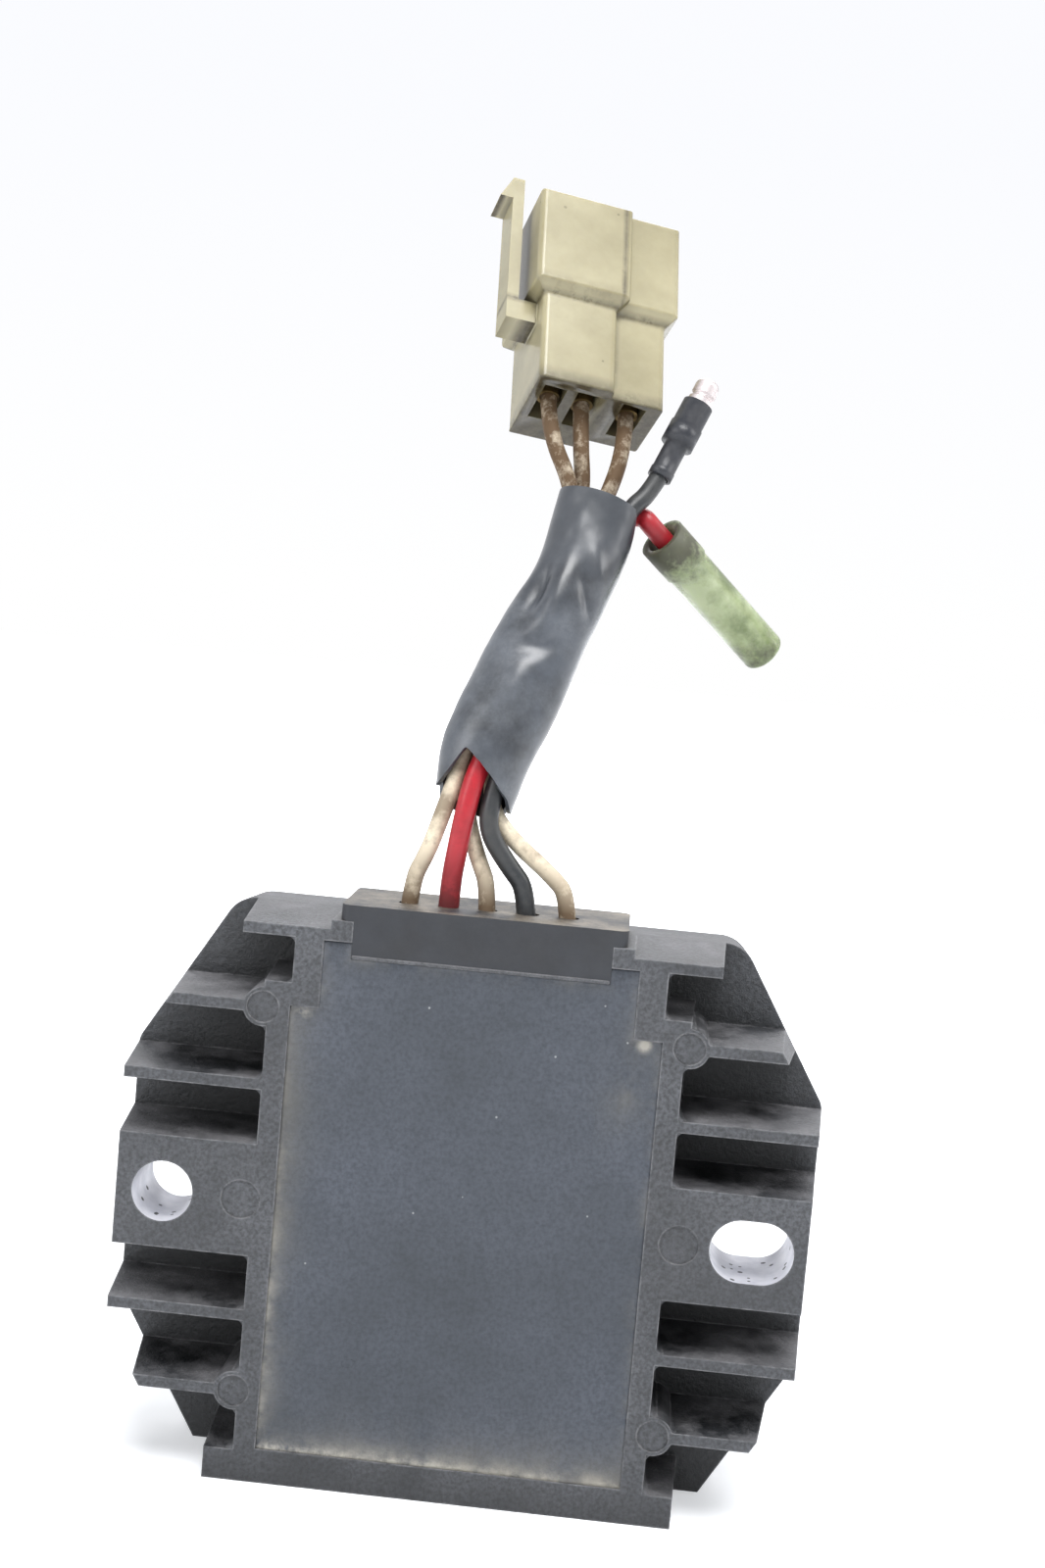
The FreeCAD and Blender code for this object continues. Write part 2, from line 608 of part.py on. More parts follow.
def make_boards():
    """Base board with its rectifier cells, and the control board that stands on pins before it."""
    base_middle = "(" + BOARD_FOOT + " + " + BOARD_HEIGHT + " / 2)"
    control_middle = "(" + BOARD_FOOT + " + control_board_lift + control_board_height / 2)"
    upper_row = "(" + TAG_LOW + " - cell_clearance - cell_size / 2)"
    pieces = [slab("base_board", "0", base_middle, BOARD_WIDTH, BOARD_HEIGHT,
                   CAVITY_FLOOR, "base_board_thickness")]
    for kind, level in (("thyristor", upper_row), ("diode", upper_row + " - cell_row_pitch")):
        for place in range(3):
            across = "cell_pitch * %d" % (place - 1)
            pieces.append(slab("%s_%d" % (kind, place + 1), across, level, "cell_size", "cell_size",
                               BASE_BOARD_FACE, "cell_thickness"))
    pieces.append(slab("control_board", "0", control_middle, "control_board_width",
                       "control_board_height", CONTROL_BOARD_BACK, "control_board_thickness"))
    pieces.append(slab("control_chip", "0 - control_board_width / 5", control_middle, "chip_width",
                       "chip_height", CONTROL_BOARD_FACE, "chip_thickness"))

    pins = new_body("board_pins")
    sketch = new_sketch(pins, "pin_outline", offset="0 - " + BASE_BOARD_FACE)
    for side_sign in (" - ", " + "):
        for level_sign in (" - ", " + "):
            add_circle(sketch, "0" + side_sign + "(control_board_width / 2 - board_pin_margin)",
                       control_middle + level_sign + "(control_board_height / 2 - board_pin_margin)",
                       "board_pin_diameter / 2")
    add_feature(pins, "Pad", "pins", sketch, "control_board_gap")
    pieces.append(pins)

    capacitor = new_body("capacitor")
    sketch = new_sketch(capacitor, "can_outline", offset="0 - " + CONTROL_BOARD_FACE)
    add_circle(sketch, "control_board_width / 4", control_middle, "capacitor_diameter / 2")
    add_feature(capacitor, "Pad", "can", sketch, "capacitor_length")
    pieces.append(capacitor)

    zener = new_body("zener_diode")
    sketch = new_sketch(zener, "glass_outline", role="YZ_Plane", offset="0 - zener_length / 2")
    add_circle(sketch, CONTROL_BOARD_FACE + " - zener_diameter / 2",
               control_middle + " + control_board_height / 4", "zener_diameter / 2")
    add_feature(zener, "Pad", "glass", sketch, "zener_length")
    pieces.append(zener)

    resistors = new_body("chip_resistors")
    sketch = new_sketch(resistors, "resistor_outline", offset="0 - " + CONTROL_BOARD_FACE)
    level = "(" + control_middle + " - control_board_height / 4)"
    for place in range(int(value_of("resistor_count"))):
        middle = "(%d - (resistor_count - 1) / 2) * resistor_pitch" % place
        add_rectangle(sketch, middle + " - resistor_width / 2", level + " - resistor_length / 2",
                      middle + " + resistor_width / 2", level + " + resistor_length / 2")
    add_feature(resistors, "Pad", "resistor_row", sketch, "resistor_thickness")
    pieces.append(resistors)
    return pieces


def make_lead_terminal(place, diameter):
    """Cup on the foot of a lead, with a strip that bends back on to the base board."""
    body = new_body("lead_terminal_%d" % (place + 1))
    set_size(body, ".Placement.Base.x", lead_across(place))
    set_size(body, ".Placement.Base.y", LEAD_ROW)
    bore = diameter + " / 2 + lead_clearance"
    outer = diameter + " / 2 + tag_cup_wall"
    foot = LEAD_FOOT + " - (tag_cup_length - tag_cup_bore)"
    rim = LEAD_FOOT + " + tag_cup_bore"
    revolve(body, "cup", [("0", foot), (outer, foot), (outer, rim), (bore, rim), (bore, LEAD_FOOT),
                          ("0", LEAD_FOOT)])
    sketch = new_sketch(body, "strip_outline", role="YZ_Plane", offset="0 - tag_width / 2")
    half = "tag_thickness / 2"
    low = TAG_LOW
    reach = "cavity_depth - base_board_thickness - lead_row_depth"
    top = foot + " + (tag_cup_length - tag_cup_bore) / 2"
    add_polygon(sketch, [("0 - " + half, low), (reach, low), (reach, low + " + tag_thickness"),
                         (half, low + " + tag_thickness"), (half, top), ("0 - " + half, top)])
    add_feature(body, "Pad", "strip", sketch, "tag_width")
    return body


def make_resin(tools):
    """Resin that fills the cavity round everything that stands in it."""
    body = new_body("resin_pour")
    outline = new_sketch(body, "pour_outline", offset="0 - " + FACE + " - resin_recess")
    wide, neck = "cavity_width / 2", "neck_width / 2"
    right_side = [(wide, "cavity_bottom"), (wide, NECK_START), (neck, NECK_START), (neck, NECK_END)]
    left_side = [("0 - " + x, z) for x, z in reversed(right_side)]
    add_polygon(outline, right_side + left_side)
    add_feature(body, "Pad", "pour", outline, "cavity_depth - resin_recess", reverse=True)
    resin = body
    for tool in tools:
        before = resin
        resin = doc.addObject("Part::Cut", "resin_round_" + tool.Name)
        resin.Base = before
        resin.Tool = tool
    resin.Label = "resin_fill"
    return resin


def point_on(place, x, y, z):
    return place.multVec(Vector(value_of(x), value_of(y), value_of(z)))


def route(points):
    """A path of straight runs with an arc at each bend, and the radii of the arcs."""
    edges, radii = [], []
    start = points[0]
    for i in range(1, len(points) - 1):
        before, after = points[i] - points[i - 1], points[i + 1] - points[i]
        half_turn = before.getAngle(after) / 2
        trim = 0.45 * min(before.Length, after.Length)
        radii.append(trim / math.tan(half_turn))
        before.normalize()
        after.normalize()
        first, last = points[i] - before * trim, points[i] + after * trim
        inward = after - before
        inward.normalize()
        middle = points[i] + inward * (radii[-1] / math.cos(half_turn) - radii[-1])
        edges += [Part.LineSegment(start, first).toShape(), Part.Arc(first, middle, last).toShape()]
        start = last
    edges.append(Part.LineSegment(start, points[-1]).toShape())
    return Part.Wire(edges), radii


def make_lead(label, diameter, points):
    """A round lead along a route."""
    wire, radii = route(points)
    path = doc.addObject("Part::Feature", label + "_path")
    path.Shape = wire
    section = doc.addObject("Part::Circle", label + "_section")
    set_size(section, "Radius", diameter + " / 2")
    section.Placement = FreeCAD.Placement(points[0], FreeCAD.Rotation(Vector(0, 0, 1), points[1] - points[0]))
    lead = doc.addObject("Part::Sweep", label)
    lead.Sections = [section]
    lead.Spine = (path, ["Edge%d" % (i + 1) for i in range(len(wire.Edges))])
    lead.Solid = True
    doc.recompute()
    thick = value_of(diameter)
    share = lead.Shape.Volume / (math.pi / 4 * thick ** 2 * wire.Length)
    print("%s: %.1f mm long, %.3f of its swept volume, bend radii %s"
          % (label, wire.Length, share, " ".join("%.1f" % r for r in radii)))
    return lead


def make_sleeve():
    """Soft tube over the leads, lofted through ellipses across its path."""
    middles = [middle + HARNESS_SHIFT for middle, half_width, half_thickness in SLEEVE_STATIONS]
    lofts = []
    for skin, less in (("outside", ""), ("inside", " - sleeve_wall")):
        sections = []
        for i, (middle, half_width, half_thickness) in enumerate(SLEEVE_STATIONS):
            along = middles[min(i + 1, len(middles) - 1)] - middles[max(i - 1, 0)]
            if i == len(middles) - 1:
                along = SLEEVE_RIM_DIRECTION
            section = doc.addObject("Part::Ellipse", "sleeve_%s_%d" % (skin, i + 1))
            set_size(section, "MajorRadius", half_width + less)
            set_size(section, "MinorRadius", half_thickness + less)
            section.Placement = FreeCAD.Placement(
                middles[i], FreeCAD.Rotation(Vector(1, 0, 0), Vector(0, 1, 0), along, "ZXY"))
            sections.append(section)
        loft = doc.addObject("Part::Loft", "sleeve_" + skin)
        loft.Sections = sections
        loft.Solid = True
        loft.Ruled = True
        lofts.append(loft)
    cutter = new_body("mouth_cutter", FreeCAD.Placement(HARNESS_SHIFT, FreeCAD.Rotation()))
    sketch = new_sketch(cutter, "mouth_outline", offset="%g" % -SLEEVE_MOUTH_BACK)
    add_polygon(sketch, [("%g" % x, "%g" % z) for x, z in SLEEVE_MOUTH_OUTLINE])
    add_feature(cutter, "Pad", "mouth_wedge", sketch, "10 * sleeve_mouth_half_width")
    dip = doc.addObject("Part::Cylinder", "rim_dip")
    set_size(dip, "Radius", "sleeve_dip_radius")
    set_size(dip, "Height", "10 * sleeve_mouth_half_width")
    dip.Placement = FreeCAD.Placement(SLEEVE_DIP_PLACE + HARNESS_SHIFT,
                                      FreeCAD.Rotation(Vector(0, 0, 1), Vector(0, 1, 0)))
    inside = doc.addObject("Part::Compound", "sleeve_openings")
    inside.Links = [lofts[1], cutter, dip]
    sleeve = doc.addObject("Part::Cut", "harness_sleeve")
    sleeve.Base = lofts[0]
    sleeve.Tool = inside
    return sleeve


def connector_outline(grow):
    """Outline of the two pole block with the third pole beside it, as pairs of expressions."""
    left, right, far = "0 - " + grow, "connector_width + " + grow, "connector_depth + " + grow
    side_near, side_far = "side_pole_setback - " + grow, "side_pole_setback + side_pole_depth + " + grow
    side_right = "connector_width + side_pole_width + " + grow
    return [(left, left), (right, left), (right, side_near), (side_right, side_near),
            (side_right, side_far), (right, side_far), (right, far), (left, far)]


def make_connector():
    """Three pole housing: rear body, stepped hood with two chambers, and a latch arm."""
    body = new_body("connector_housing", CONNECTOR)
    rear = new_sketch(body, "rear_outline", role="XY_Plane")
    add_polygon(rear, connector_outline("0"))
    add_feature(body, "Pad", "rear_body", rear, "connector_body_length")
    step = new_sketch(body, "step_outline", role="XY_Plane", offset="connector_body_length")
    add_polygon(step, connector_outline("0"))
    hood = new_sketch(body, "hood_outline", role="XY_Plane", offset="connector_body_length + hood_overhang")
    add_polygon(hood, connector_outline("hood_overhang"))
    bevel = body.newObject("PartDesign::AdditiveLoft", "step")
    bevel.Profile = step
    bevel.Sections = [hood]
    bevel.Ruled = True
    doc.recompute()
    add_feature(body, "Pad", "hood", hood, "hood_length - hood_overhang")

    latch = new_sketch(body, "latch_outline", offset="0 - latch_start")
    inner = "0 - (hood_overhang + latch_gap)"
    outer = "0 - (hood_overhang + latch_gap + latch_thickness)"
    hooked = "0 - (hood_overhang + latch_gap + latch_thickness + latch_hook)"
    tip = "connector_body_length + hood_length + latch_reach"
    add_polygon(latch, [("latch_gap / 2", "latch_foot"), (outer, "latch_foot"),
                        (outer, tip + " - 2 * latch_hook"), (hooked, tip + " - 2 * latch_hook"),
                        (outer, tip), (inner, tip), (inner, "connector_body_length"),
                        ("latch_gap / 2", "connector_body_length")])
    add_feature(body, "Pad", "latch_arm", latch, "latch_width", reverse=True)

    chambers = new_sketch(body, "chamber_outline", role="XY_Plane",
                          offset="connector_body_length + hood_length")
    near, far = "hood_wall - hood_overhang", "connector_depth + hood_overhang - hood_wall"
    add_rectangle(chambers, near, near, "connector_width + hood_overhang - hood_wall", far)
    side_right = "connector_width + side_pole_width + hood_overhang - hood_wall"
    add_rectangle(chambers, "connector_width + hood_overhang", "side_pole_setback - hood_overhang + hood_wall",
                  side_right, "side_pole_setback + side_pole_depth + hood_overhang - hood_wall")
    add_feature(body, "Pocket", "chambers", chambers, "hood_length - hood_floor")

    cells = new_sketch(body, "cell_outline", role="XY_Plane")
    slots = new_sketch(body, "blade_slot_outline", role="XY_Plane")
    for pole in POLES:
        add_rectangle(cells, pole + " - cell_width / 2", "pole_line - cell_height / 2",
                      pole + " + cell_width / 2", "pole_line + cell_height / 2")
        half = "(blade_thickness / 2 + blade_clearance)"
        reach = "(blade_width / 2 + blade_clearance)"
        add_rectangle(slots, pole + " - " + half, "pole_line - " + reach,
                      pole + " + " + half, "pole_line + " + reach)
    add_feature(body, "Pocket", "cells", cells, "cell_depth", reverse=True)
    add_feature(body, "Pocket", "blade_slots", slots, "connector_body_length + hood_floor", reverse=True)
    return body


def make_tab(place, pole):
    """Blade terminal: crimped on its lead, with shoulders against the end of its cell."""
    centre = FreeCAD.Placement(Vector(value_of(pole), value_of("pole_line"), 0), FreeCAD.Rotation())
    body = new_body("tab_terminal_%d" % (place + 1), CONNECTOR.multiply(centre))
    bore = "white_lead_diameter / 2 + lead_clearance"
    outer = "white_lead_diameter / 2 + crimp_wall"
    end = "crimp_start + crimp_length"
    revolve(body, "crimp", [("0", "lead_entry"), (bore, "lead_entry"), (bore, "crimp_start"),
                            (outer, "crimp_start"), (outer, end), ("0", end)])
    sketch = new_sketch(body, "blade_outline", role="YZ_Plane", offset="0 - blade_thickness / 2")
    neck, shoulder, blade = "white_lead_diameter / 2", "(cell_height / 2 - blade_clearance)", "blade_width / 2"
    tip = "connector_body_length + hood_floor + blade_length"
    chamfer = "blade_thickness"
    right_side = [
        (neck, "lead_entry + (" + end + " - lead_entry) / 2"), (neck, "cell_depth - cell_height / 2"),
        (shoulder, "cell_depth - cell_height / 2"), (shoulder, "cell_depth"), (blade, "cell_depth"),
        (blade, tip + " - " + chamfer), (blade + " - " + chamfer, tip),
    ]
    left_side = [("0 - (" + y + ")", z) for y, z in reversed(right_side)]
    add_polygon(sketch, right_side + left_side)
    add_feature(body, "Pad", "blade", sketch, "blade_thickness")
    return body


def make_bullet_boot():
    """Soft boot round the end of the black lead, with a collar and a wider socket."""
    body = new_body("bullet_boot", BOOT)
    bore, socket = "black_lead_diameter / 2 + lead_clearance", "bullet_diameter / 2 + lead_clearance"
    tube, mouth = "black_lead_diameter / 2 + boot_wall", "black_lead_diameter / 2 + boot_wall + boot_bead"
    collar_end = "boot_collar_start + boot_collar_length"
    revolve(body, "boot", [
        (bore, "0"), (mouth, "0"), (mouth, "boot_mouth"), (tube, "boot_mouth + boot_bead"),
        (tube, "boot_collar_start"), ("boot_collar_diameter / 2", "boot_collar_start"),
        ("boot_collar_diameter / 2", collar_end), ("boot_socket_diameter / 2", collar_end),
        ("boot_socket_diameter / 2", "boot_length"), (socket, "boot_length"),
        (socket, "boot_collar_start + boot_wall"), (bore, "boot_collar_start + boot_wall"),
    ])
    return body


def make_male_bullet():
    """Round pin on the end of the black lead, with a groove behind its rounded tip."""
    body = new_body("male_bullet", BOOT)
    full, neck = "bullet_diameter / 2", "(bullet_diameter / 2 - pin_neck)"
    shank = "black_lead_diameter / 2"
    seat, tip = "boot_collar_start + boot_wall", "boot_length + pin_stand_out"
    revolve(body, "pin", [
        ("0", "boot_entry"), (shank, "boot_entry"), (shank, seat), (full, seat), (full, tip + " - pin_head"),
        (neck, tip + " - pin_head + pin_neck"), (neck, tip + " - pin_head + 2 * pin_neck"),
        (full, tip + " - pin_head + 3 * pin_neck"), (full, tip), ("0", tip),
    ])
    reach = value_of(tip)
    ends = edges_where(body.Shape, lambda e: abs(
        body.Placement.inverse().multVec(e.Vertexes[0].Point).z - reach) < 0.01
        and len(e.Vertexes) == 1 and abs(e.Length - math.pi * value_of("bullet_diameter")) < 0.01)
    round_edges(body, "pin_tip", ends, "pin_tip_radius")
    return body


def make_bullet_sleeve():
    """Insulating sleeve over the socket on the red lead, open at both ends."""
    body = new_body("bullet_sleeve", RED_SLEEVE)
    bore = "bullet_diameter / 2 + bullet_wall + 2 * lead_clearance"
    outer = bore + " + bullet_sleeve_wall"
    collar = outer + " + bullet_sleeve_collar"
    mouth = bore + " - bullet_sleeve_lip"
    seat = "bullet_inset + bullet_socket_length + lead_clearance"
    revolve(body, "sleeve", [
        (bore, "0"), (collar, "0"), (collar, "bullet_sleeve_collar_length"),
        (outer, "bullet_sleeve_collar_length + bullet_sleeve_collar"),
        (outer, "bullet_sleeve_length"), (mouth, "bullet_sleeve_length"), (mouth, seat), (bore, seat),
    ])
    reach = value_of("bullet_sleeve_length")
    ring = 2 * math.pi * value_of(outer)
    ends = edges_where(body.Shape, lambda e: len(e.Vertexes) == 1 and abs(e.Length - ring) < 0.01 and abs(
        body.Placement.inverse().multVec(e.Vertexes[0].Point).z - reach) < 0.01)
    round_edges(body, "sleeve_end", ends, "bullet_sleeve_wall")
    return body


def make_female_bullet():
    """Socket on the end of the red lead, crimped at one end and open at the other."""
    body = new_body("female_bullet", RED_SLEEVE)
    crimp_bore = "red_lead_diameter / 2 + lead_clearance"
    crimp = "red_lead_diameter / 2 + bullet_wall"
    bore, outer = "bullet_diameter / 2", "bullet_diameter / 2 + bullet_wall"
    end = "bullet_inset + bullet_socket_length"
    step = "bullet_inset + bullet_crimp_length"
    revolve(body, "socket", [
        (crimp_bore, "bullet_inset"), (crimp, "bullet_inset"), (crimp, step), (outer, step + " + bullet_wall"),
        (outer, end), (bore, end), (bore, step + " + bullet_wall"), ("0", step + " + bullet_wall"),
        ("0", step), (crimp_bore, step),
    ])
    return body


def facing(place, direction):
    return FreeCAD.Placement(place + HARNESS_SHIFT, FreeCAD.Rotation(Vector(0, 0, 1), direction))


POLES = ["first_pole", "second_pole", "third_pole"]
HARNESS_SHIFT = Vector(0, value_of(LEAD_ROW), value_of(BLOCK_TOP)) - HARNESS_DRAWN_FROM
CONNECTOR = FreeCAD.Placement(CONNECTOR_PLACE + HARNESS_SHIFT, CONNECTOR_TURN)
BOOT = facing(BOOT_PLACE, BOOT_DIRECTION)
RED_SLEEVE = facing(RED_SLEEVE_PLACE, RED_SLEEVE_DIRECTION)

LEAD_ENDS = {}
for name, pole in zip(("white_lead_1", "white_lead_2", "white_lead_3"), POLES):
    LEAD_ENDS[name] = [point_on(CONNECTOR, pole, "pole_line", "0 - lead_entry"),
                       point_on(CONNECTOR, pole, "pole_line", "lead_entry")]
LEAD_ENDS["black_lead"] = [point_on(BOOT, "0", "0", "0 - lead_straight"), point_on(BOOT, "0", "0", "boot_entry")]
LEAD_ENDS["red_lead"] = [point_on(RED_SLEEVE, "0", "0", "0 - lead_straight"),
                         point_on(RED_SLEEVE, "0", "0", "bullet_inset + bullet_crimp_length")]

leads = []
for place, (name, diameter) in enumerate(LEADS.items()):
    across, depth = value_of(lead_across(place)), value_of(LEAD_ROW)
    points = [Vector(across, depth, value_of(LEAD_FOOT))]
    points.append(Vector(across, depth, value_of(BLOCK_TOP) + value_of("lead_straight")))
    points += [point + HARNESS_SHIFT for point in LEAD_ROUTES[name]] + LEAD_ENDS[name]
    leads.append(make_lead(name, diameter, points))

housing = make_housing()
lead_block = make_lead_block()
inner_pieces = make_boards()
inner_pieces += [make_lead_terminal(place, diameter) for place, diameter in enumerate(LEADS.values())]
resin_fill = make_resin([lead_block] + inner_pieces + leads)
loose_pieces = [make_sleeve(), make_connector()]
loose_pieces += [make_tab(place, pole) for place, pole in enumerate(POLES)]
loose_pieces += [make_bullet_boot(), make_male_bullet(), make_bullet_sleeve(), make_female_bullet()]
doc.recompute()

for thing in doc.Objects:
    if "Invalid" in thing.State or "Error" in thing.State:
        raise RuntimeError("%s could not be made: %s" % (thing.Name, thing.State))

os.makedirs("parts", exist_ok=True)
for node in [housing, resin_fill, lead_block] + leads + inner_pieces + loose_pieces:
    shape = node.Shape
    if shape.isNull() or not shape.isValid() or not shape.Solids:
        raise RuntimeError("%s is not a sound solid" % node.Label)
    shape.exportStep("parts/%s.step" % node.Label)
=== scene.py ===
import math
import bmesh
import bpy
from mathutils import Matrix, Vector, noise


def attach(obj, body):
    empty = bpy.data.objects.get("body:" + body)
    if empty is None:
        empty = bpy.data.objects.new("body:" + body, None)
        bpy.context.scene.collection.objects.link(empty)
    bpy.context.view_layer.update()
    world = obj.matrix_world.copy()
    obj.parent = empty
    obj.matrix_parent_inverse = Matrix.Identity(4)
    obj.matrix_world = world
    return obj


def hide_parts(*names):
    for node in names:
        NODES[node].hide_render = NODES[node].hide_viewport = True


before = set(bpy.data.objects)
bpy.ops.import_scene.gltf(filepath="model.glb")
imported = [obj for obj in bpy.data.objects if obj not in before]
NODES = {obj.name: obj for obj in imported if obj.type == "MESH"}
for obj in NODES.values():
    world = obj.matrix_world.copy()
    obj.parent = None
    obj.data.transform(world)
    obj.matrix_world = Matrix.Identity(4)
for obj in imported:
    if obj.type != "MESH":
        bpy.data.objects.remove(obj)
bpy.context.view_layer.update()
MM = 0.001

# Sizes of the housing that the dressing follows, in millimetres
FACE = -12.0
MARK_LEVELS = (12.4, 38.6, 64.8)
EAR_LEVEL = MARK_LEVELS[1]
CAVITY_HALF, NECK_HALF, BLOCK_HALF = 24.6, 20.8, 17.1
CAVITY_FOOT, NECK_START, BLOCK_FOOT, CAVITY_TOP = 4.7, 65.3, 72.2, 74.4
FIN_WALL, BOSS_X, BOSS_RADIUS, CORNER_ROUND = 27.6, 28.2, 2.65, 1.3

# Places and directions of the connector and the two bullets, in millimetres
CONNECTOR_TURN = Matrix(((0.945, -0.322, -0.063), (0.307, 0.801, 0.513), (-0.115, -0.504, 0.856)))
CONNECTOR_PLACE = Vector((-0.4, 10.0, 152.2))
BOOT_PLACE, BOOT_WAY = Vector((17.2, 12.8, 139.6)), Vector((0.367, 0.292, 0.883)).normalized()
RED_PLACE, RED_WAY = Vector((18.4, 13.0, 131.3)), Vector((0.66, 0.46, -0.60)).normalized()


# Shader building blocks

def put(tree, kind, inputs=None, **settings):
    """One node, its settings, and its inputs given as values or as sockets to link."""
    node = tree.nodes.new(kind)
    for name, value in settings.items():
        setattr(node, name, value)
    for key, value in (inputs or {}).items():
        if isinstance(value, bpy.types.NodeSocket):
            tree.links.new(value, node.inputs[key])
        else:
            node.inputs[key].default_value = value
    return node


def maths(tree, operation, *values, clamp=False):
    """One sum, product or comparison of values or sockets."""
    node = put(tree, "ShaderNodeMath", dict(enumerate(values)), operation=operation, use_clamp=clamp)
    return node.outputs[0]


def spread(tree, value, low, high, to_low=0.0, to_high=1.0):
    """A value carried from one range to another, and held inside it."""
    inputs = {"Value": value, "From Min": low, "From Max": high, "To Min": to_low, "To Max": to_high}
    return put(tree, "ShaderNodeMapRange", inputs, clamp=True).outputs[0]


def blend(tree, share, under, over, mode="MIX"):
    """Two colours mixed by a share."""
    inputs = {0: share, 6: under, 7: over}
    return put(tree, "ShaderNodeMix", inputs, data_type="RGBA", blend_type=mode).outputs[2]


def noise_at(tree, coords, scale, detail, roughness):
    """Noise in the object's own coordinates."""
    inputs = {"Vector": coords, "Scale": scale, "Detail": detail, "Roughness": roughness}
    return put(tree, "ShaderNodeTexNoise", inputs).outputs[0]


def new_group(name, inputs, outputs):
    """A node group with its sockets, and the nodes at its two ends."""
    tree = bpy.data.node_groups.new(name, "ShaderNodeTree")
    for label, kind, start in inputs:
        tree.interface.new_socket(label, in_out="INPUT", socket_type=kind).default_value = start
    for label, kind in outputs:
        tree.interface.new_socket(label, in_out="OUTPUT", socket_type=kind)
    return tree, tree.nodes.new("NodeGroupInput"), tree.nodes.new("NodeGroupOutput")


def make_edge_wear_and_highlight():
    """Where an outward edge is rubbed and carries a painted highlight, broken up by noise."""
    tree, given, result = new_group(
        "edge_wear_and_highlight",
        [("Radius", "NodeSocketFloat", 0.0004), ("Breakup", "NodeSocketFloat", 900.0),
         ("Strength", "NodeSocketFloat", 1.0)],
        [("Mask", "NodeSocketFloat")])
    rounded = put(tree, "ShaderNodeBevel", {"Radius": given.outputs["Radius"]}, samples=4)
    flat = put(tree, "ShaderNodeNewGeometry")
    facing = put(tree, "ShaderNodeVectorMath", {0: rounded.outputs[0], 1: flat.outputs["Normal"]},
                 operation="DOT_PRODUCT").outputs["Value"]
    turned = spread(tree, facing, 0.995, 0.80)
    coords = put(tree, "ShaderNodeTexCoord").outputs["Object"]
    patches = noise_at(tree, coords, given.outputs["Breakup"], 5.0, 0.65)
    broken = maths(tree, "MULTIPLY", turned, spread(tree, patches, 0.34, 0.62))
    tree.links.new(maths(tree, "MULTIPLY", broken, given.outputs["Strength"], clamp=True),
                   result.inputs["Mask"])
    return tree


def make_dust():
    """Dust that settles on what faces up, thicker in drifts."""
    tree, given, result = new_group(
        "settled_dust",
        [("Scale", "NodeSocketFloat", 120.0), ("Amount", "NodeSocketFloat", 1.0),
         ("Everywhere", "NodeSocketFloat", 0.0)],
        [("Mask", "NodeSocketFloat")])
    geometry = put(tree, "ShaderNodeNewGeometry")
    upward = put(tree, "ShaderNodeSeparateXYZ", {0: geometry.outputs["Normal"]}).outputs[2]
    level = maths(tree, "MAXIMUM", spread(tree, upward, 0.1, 0.9), given.outputs["Everywhere"])
    coords = put(tree, "ShaderNodeTexCoord").outputs["Object"]
    drift = spread(tree, noise_at(tree, coords, given.outputs["Scale"], 6.0, 0.7), 0.38, 0.68)
    fine = spread(tree, noise_at(tree, coords, 2600.0, 3.0, 0.6), 0.3, 0.7, 0.55, 1.0)
    mask = maths(tree, "MULTIPLY", maths(tree, "MULTIPLY", level, drift), fine)
    tree.links.new(maths(tree, "MULTIPLY", mask, given.outputs["Amount"], clamp=True), result.inputs["Mask"])
    return tree


def make_grain():
    """Fine grain: a height for bump and a tone that varies slowly over the surface."""
    tree, given, result = new_group(
        "surface_grain",
        [("Fine", "NodeSocketFloat", 1500.0), ("Broad", "NodeSocketFloat", 60.0)],
        [("Height", "NodeSocketFloat"), ("Tone", "NodeSocketFloat")])
    coords = put(tree, "ShaderNodeTexCoord").outputs["Object"]
    fine = noise_at(tree, coords, given.outputs["Fine"], 6.0, 0.65)
    tree.links.new(fine, result.inputs["Height"])
    tree.links.new(noise_at(tree, coords, given.outputs["Broad"], 5.0, 0.6), result.inputs["Tone"])
    return tree


def make_specks():
    """Small scattered specks of dirt or paint."""
    tree, given, result = new_group(
        "specks",
        [("Scale", "NodeSocketFloat", 400.0), ("Size", "NodeSocketFloat", 0.12),
         ("Share", "NodeSocketFloat", 0.3)],
        [("Mask", "NodeSocketFloat")])
    coords = put(tree, "ShaderNodeTexCoord").outputs["Object"]
    cells = put(tree, "ShaderNodeTexVoronoi", {"Vector": coords, "Scale": given.outputs["Scale"]})
    dot = maths(tree, "LESS_THAN", cells.outputs["Distance"], given.outputs["Size"])
    pick = put(tree, "ShaderNodeSeparateColor", {0: cells.outputs["Color"]}).outputs[0]
    chosen = maths(tree, "LESS_THAN", pick, given.outputs["Share"])
    tree.links.new(maths(tree, "MULTIPLY", dot, chosen), result.inputs["Mask"])
    return tree


def make_hollows():
    """How deep in a hollow or a corner a place lies."""
    tree, given, result = new_group(
        "hollows",
        [("Distance", "NodeSocketFloat", 0.006), ("Start", "NodeSocketFloat", 0.9),
         ("Full", "NodeSocketFloat", 0.2)],
        [("Mask", "NodeSocketFloat")])
    open_sky = put(tree, "ShaderNodeAmbientOcclusion", {"Distance": given.outputs["Distance"]}, samples=8)
    mask = spread(tree, open_sky.outputs["AO"], given.outputs["Start"], given.outputs["Full"])
    tree.links.new(mask, result.inputs["Mask"])
    return tree


GROUPS = {"hollows": make_hollows(), "wear_and_highlight": make_edge_wear_and_highlight(), "dust": make_dust(), "grain": make_grain(),
          "specks": make_specks()}


def use_group(tree, name, **values):
    """A shared group set to its own values."""
    node = put(tree, "ShaderNodeGroup", node_tree=GROUPS[name])
    for label, value in values.items():
        node.inputs[label].default_value = value
    return node


